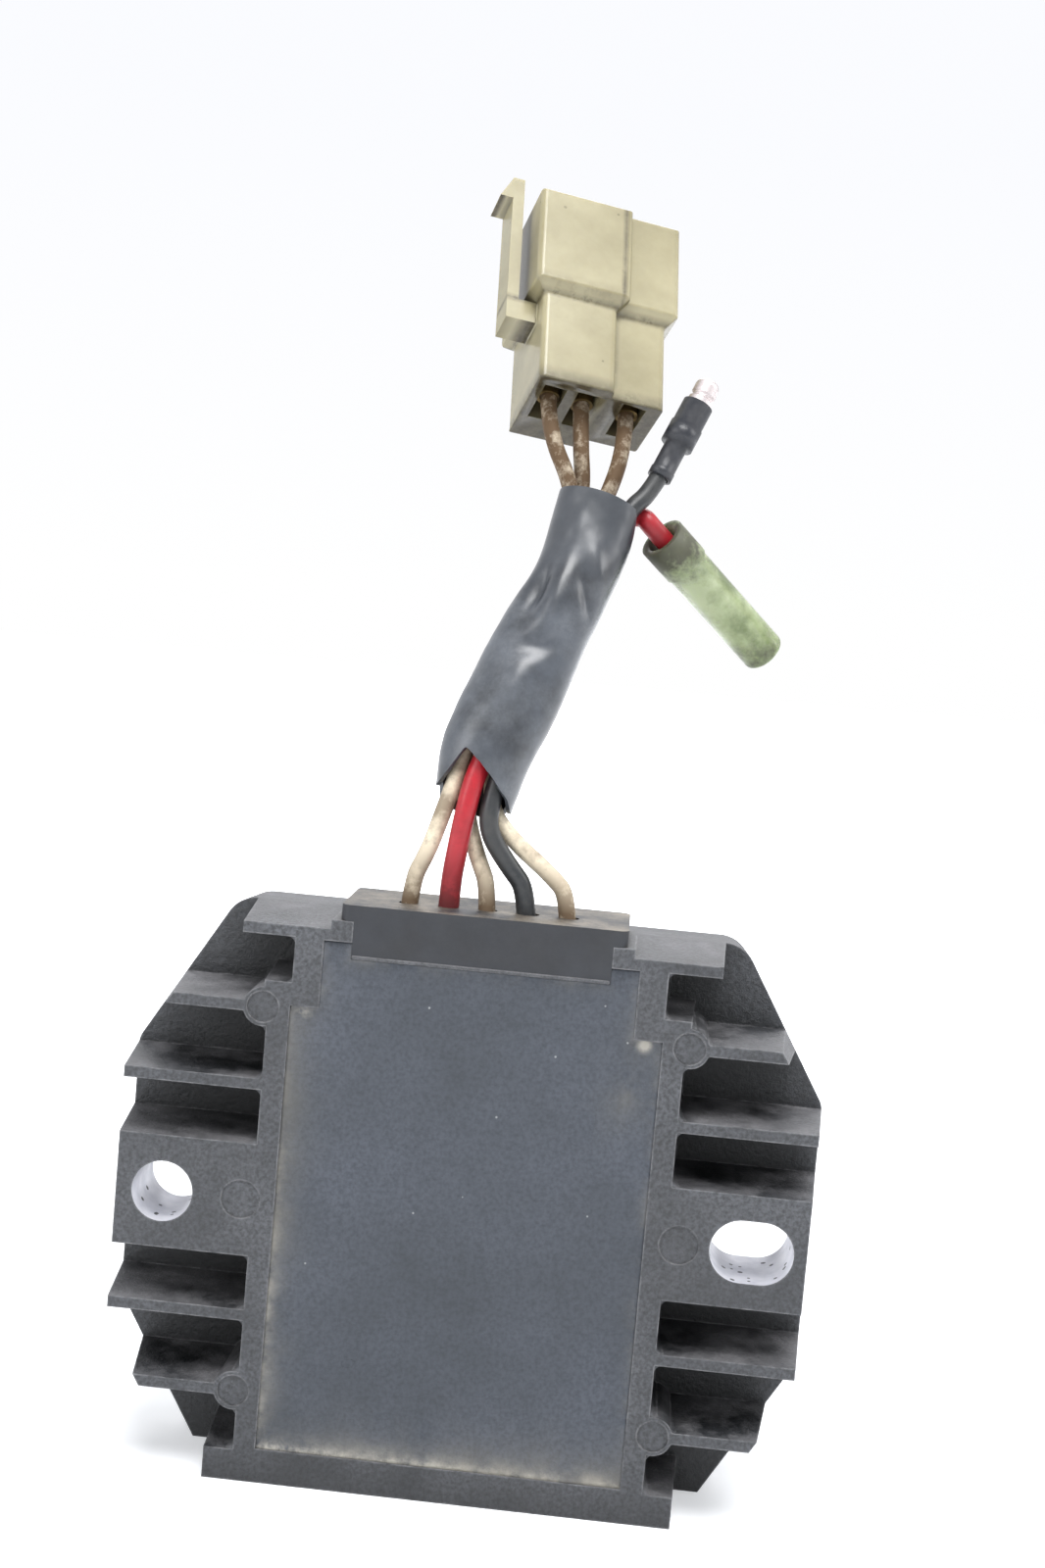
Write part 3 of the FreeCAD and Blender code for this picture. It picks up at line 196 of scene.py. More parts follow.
def new_material(name):
    """A material, its node tree and its shader."""
    material = bpy.data.materials.new(name)
    material.use_nodes = True
    tree = material.node_tree
    return material, tree, tree.nodes["Principled BSDF"]


def roughen(tree, shader, height, strength, distance=0.0001):
    """Bump from a height."""
    bump = put(tree, "ShaderNodeBump", {"Strength": strength, "Distance": distance, "Height": height})
    tree.links.new(bump.outputs[0], shader.inputs["Normal"])


def rgb(red, green, blue):
    """A colour written as the eye sees it, from 0 to 255, as linear light."""
    def linear(part):
        part = part / 255.0
        return part / 12.92 if part <= 0.04045 else ((part + 0.055) / 1.055) ** 2.4
    return (linear(red), linear(green), linear(blue), 1.0)


def make_cast_paint():
    """Thin dark paint over a die casting, rubbed at its edges and lit there by a painted highlight, with painted
    shade nearly black between the fins.
    """
    material, tree, shader = new_material("cast_paint")
    grain = use_group(tree, "grain", Fine=1900.0, Broad=75.0)
    tone = spread(tree, grain.outputs["Tone"], 0.3, 0.7)
    paint = blend(tree, tone, rgb(60, 62, 66), rgb(96, 98, 103))
    mottle = spread(tree, grain.outputs["Height"], 0.38, 0.64, 0.0, 0.8)
    paint = blend(tree, mottle, paint, rgb(40, 41, 42))
    # Painted shade: the paint goes nearly black deep between the fins, where shade falls.
    deep = use_group(tree, "hollows", Distance=0.014, Start=0.82, Full=0.34)
    paint = blend(tree, maths(tree, "MULTIPLY", deep.outputs[0], 0.93), paint, rgb(10, 13, 15))
    # Edge wear and painted highlight: the eased edges are made pale, both as rubbed metal and as the bright lines
    # that light picks out on them.
    wear_and_highlight = use_group(tree, "wear_and_highlight", Radius=0.0004, Breakup=620.0, Strength=0.75)
    rubbed_and_highlit = blend(tree, wear_and_highlight.outputs[0], paint, rgb(160, 160, 162))
    dust = use_group(tree, "dust", Scale=95.0, Amount=0.85, Everywhere=0.06)
    colour = blend(tree, dust.outputs[0], rubbed_and_highlit, rgb(146, 145, 148))
    tree.links.new(colour, shader.inputs["Base Color"])
    tree.links.new(spread(tree, dust.outputs[0], 0.0, 0.7, 0.42, 0.85), shader.inputs["Roughness"])
    tree.links.new(maths(tree, "MULTIPLY", wear_and_highlight.outputs[0], 0.5), shader.inputs["Metallic"])
    roughen(tree, shader, grain.outputs["Height"], 0.75, 0.0003)
    return material


def make_bare_metal():
    """Bright machined wall of a mounting hole with dark specks."""
    material, tree, shader = new_material("bare_bore")
    grain = use_group(tree, "grain", Fine=900.0, Broad=260.0)
    tone = spread(tree, grain.outputs["Tone"], 0.35, 0.65)
    metal = blend(tree, tone, rgb(196, 197, 206), rgb(226, 226, 232))
    specks = use_group(tree, "specks", Scale=900.0, Size=0.32, Share=0.22)
    tree.links.new(blend(tree, specks.outputs[0], metal, rgb(50, 50, 56)), shader.inputs["Base Color"])
    shader.inputs["Metallic"].default_value = 0.45
    shader.inputs["Roughness"].default_value = 0.42
    roughen(tree, shader, grain.outputs["Height"], 0.25)
    return material


def make_resin():
    """Dull blue-grey potting resin with pale specks, dusty where it meets the lower wall, and darkened by painted
    shade in its hollows.
    """
    material, tree, shader = new_material("potting_resin")
    grain = use_group(tree, "grain", Fine=1700.0, Broad=45.0)
    tone = spread(tree, grain.outputs["Tone"], 0.3, 0.72)
    base = blend(tree, tone, rgb(60, 65, 72), rgb(86, 91, 101))
    mottle = spread(tree, grain.outputs["Height"], 0.4, 0.66, 0.0, 0.55)
    base = blend(tree, mottle, base, rgb(44, 48, 54))
    specks = use_group(tree, "specks", Scale=300.0, Size=0.045, Share=0.25)
    spotted = blend(tree, maths(tree, "MULTIPLY", specks.outputs[0], 0.6), base, rgb(180, 182, 182))
    coords = put(tree, "ShaderNodeTexCoord").outputs["Object"]
    patches = spread(tree, noise_at(tree, coords, 190.0, 5.0, 0.7), 0.40, 0.66)
    rim = put(tree, "ShaderNodeAttribute", attribute_name="rim").outputs["Fac"]
    dusty = maths(tree, "MULTIPLY", rim, patches, clamp=True)
    colour = blend(tree, dusty, spotted, rgb(178, 174, 164))
    haze = put(tree, "ShaderNodeAttribute", attribute_name="haze").outputs["Fac"]
    drifts = spread(tree, noise_at(tree, coords, 60.0, 5.0, 0.65), 0.36, 0.66)
    colour = blend(tree, maths(tree, "MULTIPLY", haze, drifts, clamp=True), colour, rgb(128, 124, 114))
    # Painted shade: the resin goes dark in its hollows and along the cavity walls, where shade falls.
    deep = use_group(tree, "hollows", Distance=0.0012, Start=0.62, Full=0.3)
    colour = blend(tree, maths(tree, "MULTIPLY", deep.outputs[0], 0.7), colour, rgb(20, 22, 24))
    tree.links.new(colour, shader.inputs["Base Color"])
    tree.links.new(spread(tree, grain.outputs["Tone"], 0.3, 0.7, 0.5, 0.66), shader.inputs["Roughness"])
    roughen(tree, shader, grain.outputs["Height"], 0.7, 0.00025)
    return material


def make_moulding():
    """Black moulded block, grey-brown with dust on its top, darker and browner in its hollows."""
    material, tree, shader = new_material("moulded_block")
    grain = use_group(tree, "grain", Fine=1700.0, Broad=110.0)
    tone = spread(tree, grain.outputs["Tone"], 0.3, 0.7)
    base = blend(tree, tone, rgb(28, 30, 34), rgb(45, 48, 54))
    dust = use_group(tree, "dust", Scale=150.0, Amount=1.4, Everywhere=0.03)
    colour = blend(tree, dust.outputs[0], base, rgb(124, 116, 104))
    # Darker and browner in the hollows of the block.
    darker_in_hollows = use_group(tree, "hollows", Distance=0.002, Start=0.8, Full=0.35)
    colour = blend(tree, maths(tree, "MULTIPLY", darker_in_hollows.outputs[0], 0.8), colour, rgb(44, 36, 26))
    tree.links.new(colour, shader.inputs["Base Color"])
    shader.inputs["Roughness"].default_value = 0.5
    roughen(tree, shader, grain.outputs["Height"], 0.5, 0.00015)
    return material


def make_insulation(name, clean, soiled, dirt_amount, gloss, soiled_ends=0.0):
    """Wire insulation with grime in patches, thicker at its foot and beyond the sleeve."""
    material, tree, shader = new_material(name)
    grain = use_group(tree, "grain", Fine=1300.0, Broad=210.0)
    patch = spread(tree, grain.outputs["Tone"], 0.44, 0.66, 0.0, dirt_amount)
    fine = spread(tree, grain.outputs["Height"], 0.45, 0.75, 0.0, dirt_amount * 0.8)
    grime = maths(tree, "MAXIMUM", patch, fine)
    if soiled_ends:
        coords = put(tree, "ShaderNodeTexCoord").outputs["Object"]
        up = put(tree, "ShaderNodeSeparateXYZ", {0: coords}).outputs[2]
        streaks = noise_at(tree, coords, 420.0, 5.0, 0.7)
        beyond = spread(tree, up, 0.128, 0.136, 0.0, soiled_ends)
        foot = spread(tree, up, 0.0885, 0.0800, 0.0, 0.95)
        ends = maths(tree, "MULTIPLY", maths(tree, "MAXIMUM", beyond, foot),
                     spread(tree, streaks, 0.2, 0.5, 0.2, 1.0))
        grime = maths(tree, "MAXIMUM", grime, ends)
    tree.links.new(blend(tree, grime, clean, soiled), shader.inputs["Base Color"])
    tree.links.new(spread(tree, grime, 0.0, 1.0, gloss, 0.75), shader.inputs["Roughness"])
    roughen(tree, shader, grain.outputs["Height"], 0.15)
    return material


def make_vinyl():
    """Glossy dark vinyl sleeve with a grey bloom, and painted shade nearly black in its hollows and creases."""
    material, tree, shader = new_material("sleeve_vinyl")
    grain = use_group(tree, "grain", Fine=1300.0, Broad=95.0)
    tone = spread(tree, grain.outputs["Tone"], 0.35, 0.68)
    base = blend(tree, tone, rgb(28, 32, 38), rgb(80, 86, 95))
    dust = use_group(tree, "dust", Scale=130.0, Amount=0.7, Everywhere=0.36)
    colour = blend(tree, dust.outputs[0], base, rgb(150, 154, 159))
    up = put(tree, "ShaderNodeSeparateXYZ", {0: put(tree, "ShaderNodeTexCoord").outputs["Object"]}).outputs[2]
    colour = blend(tree, spread(tree, up, 0.120, 0.130, 0.0, 0.7), colour, rgb(40, 44, 50))
    # Painted shade: the hollows, the creases and the inside seen at the mouth go nearly black.
    deep = use_group(tree, "hollows", Distance=0.006, Start=0.55, Full=0.15)
    tree.links.new(blend(tree, deep.outputs[0], colour, rgb(10, 12, 14)), shader.inputs["Base Color"])
    tree.links.new(spread(tree, grain.outputs["Tone"], 0.3, 0.7, 0.32, 0.44), shader.inputs["Roughness"])
    shader.inputs["Coat Weight"].default_value = 0.55
    shader.inputs["Coat Roughness"].default_value = 0.28
    roughen(tree, shader, grain.outputs["Height"], 0.08)
    return material


def stripe(tree, value, middle, half):
    """One inside a band about a middle, falling to nothing at its edge."""
    away = maths(tree, "ABSOLUTE", maths(tree, "SUBTRACT", value, middle))
    return spread(tree, away, half, 0.0)


def make_nylon():
    """Natural nylon gone yellow, with light in its walls and grime at its steps and its rear end."""
    material, tree, shader = new_material("aged_nylon")
    grain = use_group(tree, "grain", Fine=800.0, Broad=70.0)
    tone = spread(tree, grain.outputs["Tone"], 0.32, 0.7)
    base = blend(tree, tone, rgb(148, 140, 108), rgb(176, 168, 136))
    coords = put(tree, "ShaderNodeTexCoord").outputs["Object"]
    turn = CONNECTOR_TURN.transposed()
    own = put(tree, "ShaderNodeMapping", {
        "Vector": coords, "Location": tuple(turn @ CONNECTOR_PLACE * -MM), "Rotation": tuple(turn.to_euler())})
    across, deep, up = put(tree, "ShaderNodeSeparateXYZ", {0: own.outputs[0]}).outputs
    rear = spread(tree, up, 2.2 * MM, -0.2 * MM)
    steps = stripe(tree, up, 14.6 * MM, 0.8 * MM)
    join = stripe(tree, across, 11.5 * MM, 0.6 * MM)
    near = spread(tree, deep, 3.0 * MM, -0.5 * MM)
    seams = maths(tree, "MAXIMUM", rear, maths(tree, "MAXIMUM", steps, maths(tree, "MULTIPLY", join, near)))
    root = maths(tree, "MULTIPLY", stripe(tree, up, 12.5 * MM, 5.0 * MM), spread(tree, deep, 0.2 * MM, -1.4 * MM))
    facing = put(tree, "ShaderNodeSeparateXYZ", {0: put(tree, "ShaderNodeNewGeometry").outputs["Normal"]}).outputs[2]
    under = spread(tree, facing, -0.45, -0.8)
    seams = maths(tree, "MAXIMUM", seams, maths(tree, "MAXIMUM", root, under))
    patches = spread(tree, noise_at(tree, coords, 480.0, 6.0, 0.72), 0.40, 0.60)
    # Painted shade: the hollows of the moulding go towards the dark dirt colour, where shade falls.
    hollow = use_group(tree, "hollows", Distance=0.004, Start=0.75, Full=0.25)
    broad = spread(tree, noise_at(tree, coords, 160.0, 5.0, 0.65), 0.35, 0.6, 0.35, 1.0)
    grime = maths(tree, "MULTIPLY", maths(tree, "MULTIPLY", seams, maths(tree, "MAXIMUM", patches, broad)), 0.8)
    soot = maths(tree, "MULTIPLY", under, spread(tree, patches, 0.0, 1.0, 0.84, 0.98))
    grime = maths(tree, "MAXIMUM", maths(tree, "MAXIMUM", grime, soot),
                  maths(tree, "MULTIPLY", hollow.outputs[0], 0.75), clamp=True)
    specks = use_group(tree, "specks", Scale=520.0, Size=0.13, Share=0.12)
    dirt = maths(tree, "MAXIMUM", grime, maths(tree, "MULTIPLY", specks.outputs[0], 0.4))
    tree.links.new(blend(tree, dirt, base, rgb(62, 54, 36)), shader.inputs["Base Color"])
    shader.inputs["Roughness"].default_value = 0.27
    shader.inputs["Subsurface Weight"].default_value = 0.2
    shader.inputs["Subsurface Radius"].default_value = (0.0022, 0.0019, 0.0011)
    shader.inputs["Subsurface Scale"].default_value = 1.0
    roughen(tree, shader, grain.outputs["Height"], 0.12)
    return material


def make_clear_sleeve():
    """Clear soft sleeve gone green, dark with dirt at the end where the lead goes in."""
    material, tree, shader = new_material("green_sleeve")
    grain = use_group(tree, "grain", Fine=900.0, Broad=150.0)
    tone = spread(tree, grain.outputs["Tone"], 0.4, 0.62)
    base = blend(tree, tone, rgb(116, 130, 84), rgb(178, 190, 146))
    coords = put(tree, "ShaderNodeTexCoord").outputs["Object"]
    reach = put(tree, "ShaderNodeVectorMath", {0: coords, 1: tuple(RED_WAY)}, operation="DOT_PRODUCT")
    along = maths(tree, "SUBTRACT", reach.outputs["Value"], RED_PLACE.dot(RED_WAY) * MM)
    near = spread(tree, along, 9.0 * MM, 2.0 * MM, 0.0, 0.40)
    far = spread(tree, along, 18.0 * MM, 24.0 * MM, 0.0, 0.22)
    patches = noise_at(tree, coords, 260.0, 6.0, 0.7)
    dirt = spread(tree, maths(tree, "ADD", patches, maths(tree, "ADD", near, far)), 0.58, 0.86, 0.0, 0.9)
    tree.links.new(blend(tree, dirt, base, rgb(62, 58, 50)), shader.inputs["Base Color"])
    tree.links.new(spread(tree, dirt, 0.0, 1.0, 0.22, 0.6), shader.inputs["Roughness"])
    shader.inputs["Subsurface Weight"].default_value = 0.25
    shader.inputs["Subsurface Radius"].default_value = (0.002, 0.003, 0.0012)
    shader.inputs["Subsurface Scale"].default_value = 1.0
    roughen(tree, shader, grain.outputs["Height"], 0.15)
    return material


def make_metal(name, colour, dull, roughness):
    """Plated or plain metal with slight tarnish."""
    material, tree, shader = new_material(name)
    grain = use_group(tree, "grain", Fine=1500.0, Broad=300.0)
    tone = spread(tree, grain.outputs["Tone"], 0.4, 0.7)
    tree.links.new(blend(tree, tone, colour, dull), shader.inputs["Base Color"])
    tree.links.new(spread(tree, grain.outputs["Tone"], 0.3, 0.7, roughness, roughness + 0.25),
                   shader.inputs["Roughness"])
    shader.inputs["Metallic"].default_value = 0.9
    roughen(tree, shader, grain.outputs["Height"], 0.1)
    return material


def make_plain(name, dark, light, roughness):
    """Moulded or pressed inner pieces."""
    material, tree, shader = new_material(name)
    grain = use_group(tree, "grain", Fine=1200.0, Broad=250.0)
    tree.links.new(blend(tree, spread(tree, grain.outputs["Tone"], 0.3, 0.7), dark, light),
                   shader.inputs["Base Color"])
    shader.inputs["Roughness"].default_value = roughness
    roughen(tree, shader, grain.outputs["Height"], 0.2)
    return material


CAST_PAINT = make_cast_paint()
BARE_BORE = make_bare_metal()
RESIN = make_resin()
BLOCK = make_moulding()
VINYL = make_vinyl()
NYLON = make_nylon()
GREEN_SLEEVE = make_clear_sleeve()
INSULATION = {
    "white_insulation": make_insulation("white_insulation", rgb(240, 226, 200), rgb(96, 74, 50), 0.72, 0.42, 1.0),
    "red_insulation": make_insulation("red_insulation", rgb(184, 34, 46), rgb(92, 28, 30), 0.45, 0.30, 0.4),
    "black_insulation": make_insulation("black_insulation", rgb(38, 41, 44), rgb(84, 83, 80), 0.4, 0.34),
}
BOOT = make_insulation("boot_vinyl", rgb(34, 37, 44), rgb(84, 83, 84), 0.4, 0.34)
TINNED = make_metal("tinned_metal", rgb(220, 212, 212), rgb(176, 164, 162), 0.3)
# The brass is dark partly for its grime and partly as painted shade, for the tabs that lie in shade inside the
# connector.
BRASS = make_metal("brass", rgb(120, 100, 62), rgb(58, 48, 34), 0.4)
BOARD = make_plain("board", rgb(24, 84, 52), rgb(34, 104, 66), 0.5)
PACKAGE = make_plain("package", rgb(36, 36, 38), rgb(54, 54, 56), 0.55)
CERAMIC = make_plain("ceramic", rgb(196, 190, 176), rgb(218, 214, 204), 0.5)

NODE_FINISH = {
    "lead_terminal": TINNED, "board_pins": TINNED, "tab_terminal": BRASS, "male_bullet": TINNED,
    "female_bullet": TINNED, "base_board": BOARD, "control_board": BOARD, "control_chip": PACKAGE,
    "thyristor": PACKAGE, "diode": PACKAGE, "capacitor": TINNED, "zener": BRASS, "chip_resistors": CERAMIC,
    "resin_fill": RESIN,
}
for name, thing in NODES.items():
    for start, finish in NODE_FINISH.items():
        if name.startswith(start):
            thing.data.materials.clear()
            thing.data.materials.append(finish)


# Pieces

def finish_piece(name, shape, materials, smooth_angle=35.0):
    """Make an object of a bmesh, shade it, and give it its materials and its body."""
    mesh = bpy.data.meshes.new(name)
    shape.to_mesh(mesh)
    shape.free()
    for material in materials:
        mesh.materials.append(material)
    for face in mesh.polygons:
        face.use_smooth = True
    mesh.set_sharp_from_angle(angle=math.radians(smooth_angle))
    piece = bpy.data.objects.new(name, mesh)
    bpy.context.scene.collection.objects.link(piece)
    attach(piece, "root")
    return piece


def copy_of(node, flatten=0.6):
    """The solid of a node as one joined bmesh with its flat faces whole."""
    shape = bmesh.new()
    shape.from_mesh(NODES[node].data)
    bmesh.ops.remove_doubles(shape, verts=shape.verts, dist=0.00001)
    if flatten:
        bmesh.ops.dissolve_limit(shape, angle_limit=math.radians(flatten), verts=shape.verts,
                                 edges=shape.edges, delimit=set())
    return shape


def soften_edges(piece, width, segments=2, angle=28.0):
    """Ease the sharp edges of a piece with a live bevel."""
    bevel = piece.modifiers.new("soft_edges", "BEVEL")
    bevel.width = width
    bevel.segments = segments
    bevel.limit_method = "ANGLE"
    bevel.angle_limit = math.radians(angle)
    bevel.harden_normals = True
    bevel.miter_outer = "MITER_ARC"
    return bevel


def level_normals(piece):
    """Keep large flat faces flat where they meet small round ones."""
    weighted = piece.modifiers.new("level_normals", "WEIGHTED_NORMAL")
    weighted.mode = "FACE_AREA"
    weighted.weight = 100
    weighted.keep_sharp = True


def corner_fillet(x, z, way_x, way_z, radius=CORNER_ROUND):
    """Outline of the web in a square inner corner, open towards the given way."""
    middle = (x + way_x * radius, z + way_z * radius)
    inside = (x - way_x * 0.3, z - way_z * 0.3)
    return (x + way_x * radius, z), inside, (x, z + way_z * radius), middle, radius


def boss_fillets(x, z, way_z, fin, rim, radius=CORNER_ROUND):
    """Outlines of the webs between a round boss, the fin beside it and the rim."""
    reach = BOSS_RADIUS + radius
    drop = abs(fin + way_z * radius - z)
    aside = math.sqrt(reach ** 2 - drop ** 2)
    share = BOSS_RADIUS / reach
    on_fin = ((x + aside, fin), (x + 2.0, z + way_z * 0.4), (x + aside * share, z + way_z * drop * share),
              (x + aside, fin + way_z * radius), radius)
    across = rim + radius - x
    rise = math.sqrt(reach ** 2 - across ** 2)
    on_rim = ((rim, z + way_z * rise), (rim - 0.3, z + way_z * 2.3),
              (x + across * share, z + way_z * rise * share), (rim + radius, z + way_z * rise), radius)
    return [on_fin, on_rim]


def comb_fillets():
    """Webs of the right-hand side, as first point, point in the metal, last point, centre and radius."""
    webs = [corner_fillet(CAVITY_HALF, 74.47, 1, -1), corner_fillet(CAVITY_HALF, 68.4, 1, 1, 1.0)]
    webs += [corner_fillet(FIN_WALL, z, 1, way) for z, way in
             ((55.125, 1), (53.575, -1), (46.25, 1), (30.95, -1), (23.625, 1), (22.075, -1), (4.3, 1))]
    low, high = MARK_LEVELS[0], MARK_LEVELS[-1]
    webs += boss_fillets(BOSS_X, high, -1, 64.025, FIN_WALL)
    webs += boss_fillets(BOSS_X, high, 1, 65.575, BOSS_X, 0.95)
    webs += boss_fillets(BOSS_X, low, 1, 13.175, FIN_WALL)
    webs += boss_fillets(BOSS_X, low, -1, 11.625, FIN_WALL)
    return webs


def build_webs():
    """The rounds in the inner corners of the comb, from behind its face to just inside the plate."""
    shape = bmesh.new()
    for first, inside, last, middle, radius in comb_fillets():
        begin = math.atan2(last[1] - middle[1], last[0] - middle[0])
        sweep = math.atan2(first[1] - middle[1], first[0] - middle[0]) - begin
        sweep = (sweep + math.pi) % (2 * math.pi) - math.pi
        for side in (1, -1):
            rings = []
            for level, back in ((-11.96, 0.38), (-11.87, 0.15), (-11.66, 0.03), (-11.4, 0.0), (1.1, 0.0)):
                outline = [inside]
                for step in range(9):
                    angle = begin + sweep * step / 8
                    outline.append((middle[0] + (radius + back) * math.cos(angle),
                                    middle[1] + (radius + back) * math.sin(angle)))
                rings.append([shape.verts.new(Vector((side * x, level, z)) * MM) for x, z in outline])
            shape.faces.new(rings[0])
            shape.faces.new(rings[-1])
            for upper, lower in zip(rings, rings[1:]):
                for i in range(len(upper)):
                    shape.faces.new((upper[i - 1], upper[i], lower[i], lower[i - 1]))
    bmesh.ops.recalc_face_normals(shape, faces=shape.faces)
    finish_piece("comb_webs", shape, [CAST_PAINT], 50.0)


def weigh_edges(shape, weight_of, angle=28.0):
    """Give every sharp edge its share of the softening."""
    weights = shape.edges.layers.float.new("bevel_weight_edge")
    for edge in shape.edges:
        if len(edge.link_faces) == 2 and edge.calc_face_angle() > math.radians(angle):
            edge[weights] = weight_of((edge.verts[0].co + edge.verts[1].co) / 2 / MM)


def casting_weight(middle):
    """Shallow marks keep a crisp edge, the rest of the casting is soft."""
    for x in (BOSS_X, BOSS_X + 1.0):
        for z in MARK_LEVELS:
            from_mark = math.hypot(abs(middle.x) - x, middle.z - z)
            if middle.y < FACE + 0.3 and 1.9 < from_mark < (2.75 if z == EAR_LEVEL else 2.3):
                return 0.2
    return 1.0


def build_casting():
    """The casting with its edges eased and its two bores bare."""
    shape = copy_of("housing", flatten=0.0)
    levels = [level * MM for level in MARK_LEVELS]
    for level in levels:
        geometry = list(shape.verts) + list(shape.edges) + list(shape.faces)
        bmesh.ops.bisect_plane(shape, geom=geometry, dist=0.0000001, plane_co=(0, 0, level), plane_no=(0, 0, 1))
    loose = [edge for edge in shape.edges
             if not any(all(abs(vert.co.z - level) < 0.000001 for vert in edge.verts) for level in levels)]
    bmesh.ops.dissolve_limit(shape, angle_limit=math.radians(0.6), verts=shape.verts, edges=loose, delimit=set())
    for face in shape.faces:
        middle = face.calc_center_median() / MM
        for x, reach in ((-39.8, 4.5), (38.8, 6.0)):
            level = abs(middle.z - EAR_LEVEL) < 4.4 and abs(middle.x - x) < reach
            if level and abs(face.normal.y) < 0.2 and middle.y < 0.3:
                face.material_index = 1
    weigh_edges(shape, casting_weight)
    piece = finish_piece("die_casting", shape, [CAST_PAINT, BARE_BORE])
    soften_edges(piece, 0.4 * MM, 3).limit_method = "WEIGHT"
    level_normals(piece)
    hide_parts("housing")


def wall_distance(x, z):
    """How far a point of the resin's face is from the nearest wall of the cavity, in mm."""
    sideways = (CAVITY_HALF if z < NECK_START else NECK_HALF) - abs(x)
    below = max(0.0, NECK_START - z)
    step = abs(z - NECK_START) if abs(x) > NECK_HALF else math.hypot(NECK_HALF - abs(x), below)
    beside = max(0.0, abs(x) - BLOCK_HALF)
    under_block = math.hypot(beside, max(0.0, BLOCK_FOOT - z)) if beside else BLOCK_FOOT - z
    return max(0.0, min(sideways, z - CAVITY_FOOT, step, max(0.0, under_block)))


def build_resin_face():
    """Front of the resin, hollow in the middle and drawn up at the walls."""
    wide, high = 2 * CAVITY_HALF, CAVITY_TOP - CAVITY_FOOT
    shape = bmesh.new()
    bmesh.ops.create_grid(shape, x_segments=123, y_segments=174, size=0.5)
    bmesh.ops.scale(shape, vec=(wide * MM, high * MM, 1.0), verts=shape.verts)
    bmesh.ops.rotate(shape, cent=(0, 0, 0), matrix=Matrix.Rotation(math.pi / 2, 3, "X"), verts=shape.verts)
    bmesh.ops.translate(shape, vec=(0, 0, (CAVITY_FOOT + high / 2) * MM), verts=shape.verts)
    planes = [((x, 0, 0), (1, 0, 0)) for x in (NECK_HALF, -NECK_HALF, BLOCK_HALF, -BLOCK_HALF)]
    planes += [((0, 0, z), (0, 0, 1)) for z in (NECK_START, BLOCK_FOOT)]
    for place, normal in planes:
        geometry = list(shape.verts) + list(shape.edges) + list(shape.faces)
        bmesh.ops.bisect_plane(shape, geom=geometry, plane_co=Vector(place) * MM, plane_no=normal)
    gone = []
    for face in shape.faces:
        middle = face.calc_center_median() / MM
        aside, z = abs(middle.x), middle.z
        if (z > NECK_START and aside > NECK_HALF) or (z > BLOCK_FOOT and aside < BLOCK_HALF):
            gone.append(face)
    bmesh.ops.delete(shape, geom=gone, context="FACES")
    bmesh.ops.dissolve_degenerate(shape, dist=0.00001, edges=shape.edges)
    rim = shape.verts.layers.float.new("rim")
    haze = shape.verts.layers.float.new("haze")
    for vert in shape.verts:
        x, z = vert.co.x / MM, vert.co.z / MM
        away = wall_distance(x, z)
        lumps = noise.noise(Vector((x, z, 0.0)) * 0.35)
        drawn_up = 0.52 * math.exp(-away / (0.75 + 0.25 * lumps))
        swell = 0.05 * noise.noise(Vector((x, z, 7.0)) * 0.06)
        vert.co.y = (-11.33 - drawn_up + swell) * MM
        from_foot, from_left = z - CAVITY_FOOT, x + CAVITY_HALF
        bottom = math.exp(-max(0.0, from_foot) / 0.7)
        left = 0.8 * math.exp(-max(0.0, from_left) / 0.9) * (1.0 if z < 48.0 else 0.35)
        vert[rim] = max(bottom * 2.2, left, 0.25 * math.exp(-away / 0.7),
                        2.0 * math.exp(-(math.hypot(x + 22.9, z - 64.5) / 0.9) ** 2),
                        1.6 * math.exp(-(math.hypot(x - 22.3, z - 64.6) / 0.8) ** 2))
        vert[haze] = max(0.75 * math.exp(-from_foot / 2.6), 0.5 * math.exp(-from_left / 2.2),
                         0.9 * math.exp(-math.hypot((x - 20.6) * 1.4, (z - 58.0) * 0.7) / 2.0))
    if sum(face.normal.y for face in shape.faces) > 0:
        bmesh.ops.reverse_faces(shape, faces=shape.faces)
    piece = finish_piece("resin_face", shape, [RESIN], 80.0)
    thick = piece.modifiers.new("thickness", "SOLIDIFY")
    thick.thickness = 0.02 * MM
    thick.offset = -1.0


def build_block():
    """Moulded block, with the thin line of casting under its foot."""
    piece = finish_piece("lead_moulding", copy_of("lead_block"), [BLOCK])
    soften_edges(piece, 0.3 * MM)
    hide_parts("lead_block")
    lip = bmesh.new()
    bmesh.ops.create_cube(lip, size=1.0)
    bmesh.ops.scale(lip, vec=(34.0 * MM, 0.36 * MM, 0.5 * MM), verts=lip.verts)
    bmesh.ops.translate(lip, vec=(0.0, -11.98 * MM, 72.5 * MM), verts=lip.verts)
    bmesh.ops.bevel(lip, geom=lip.edges, offset=0.16 * MM, offset_type="OFFSET", segments=2, profile=0.5,
                    affect="EDGES", clamp_overlap=True, material=-1)
    finish_piece("block_lip", lip, [CAST_PAINT])


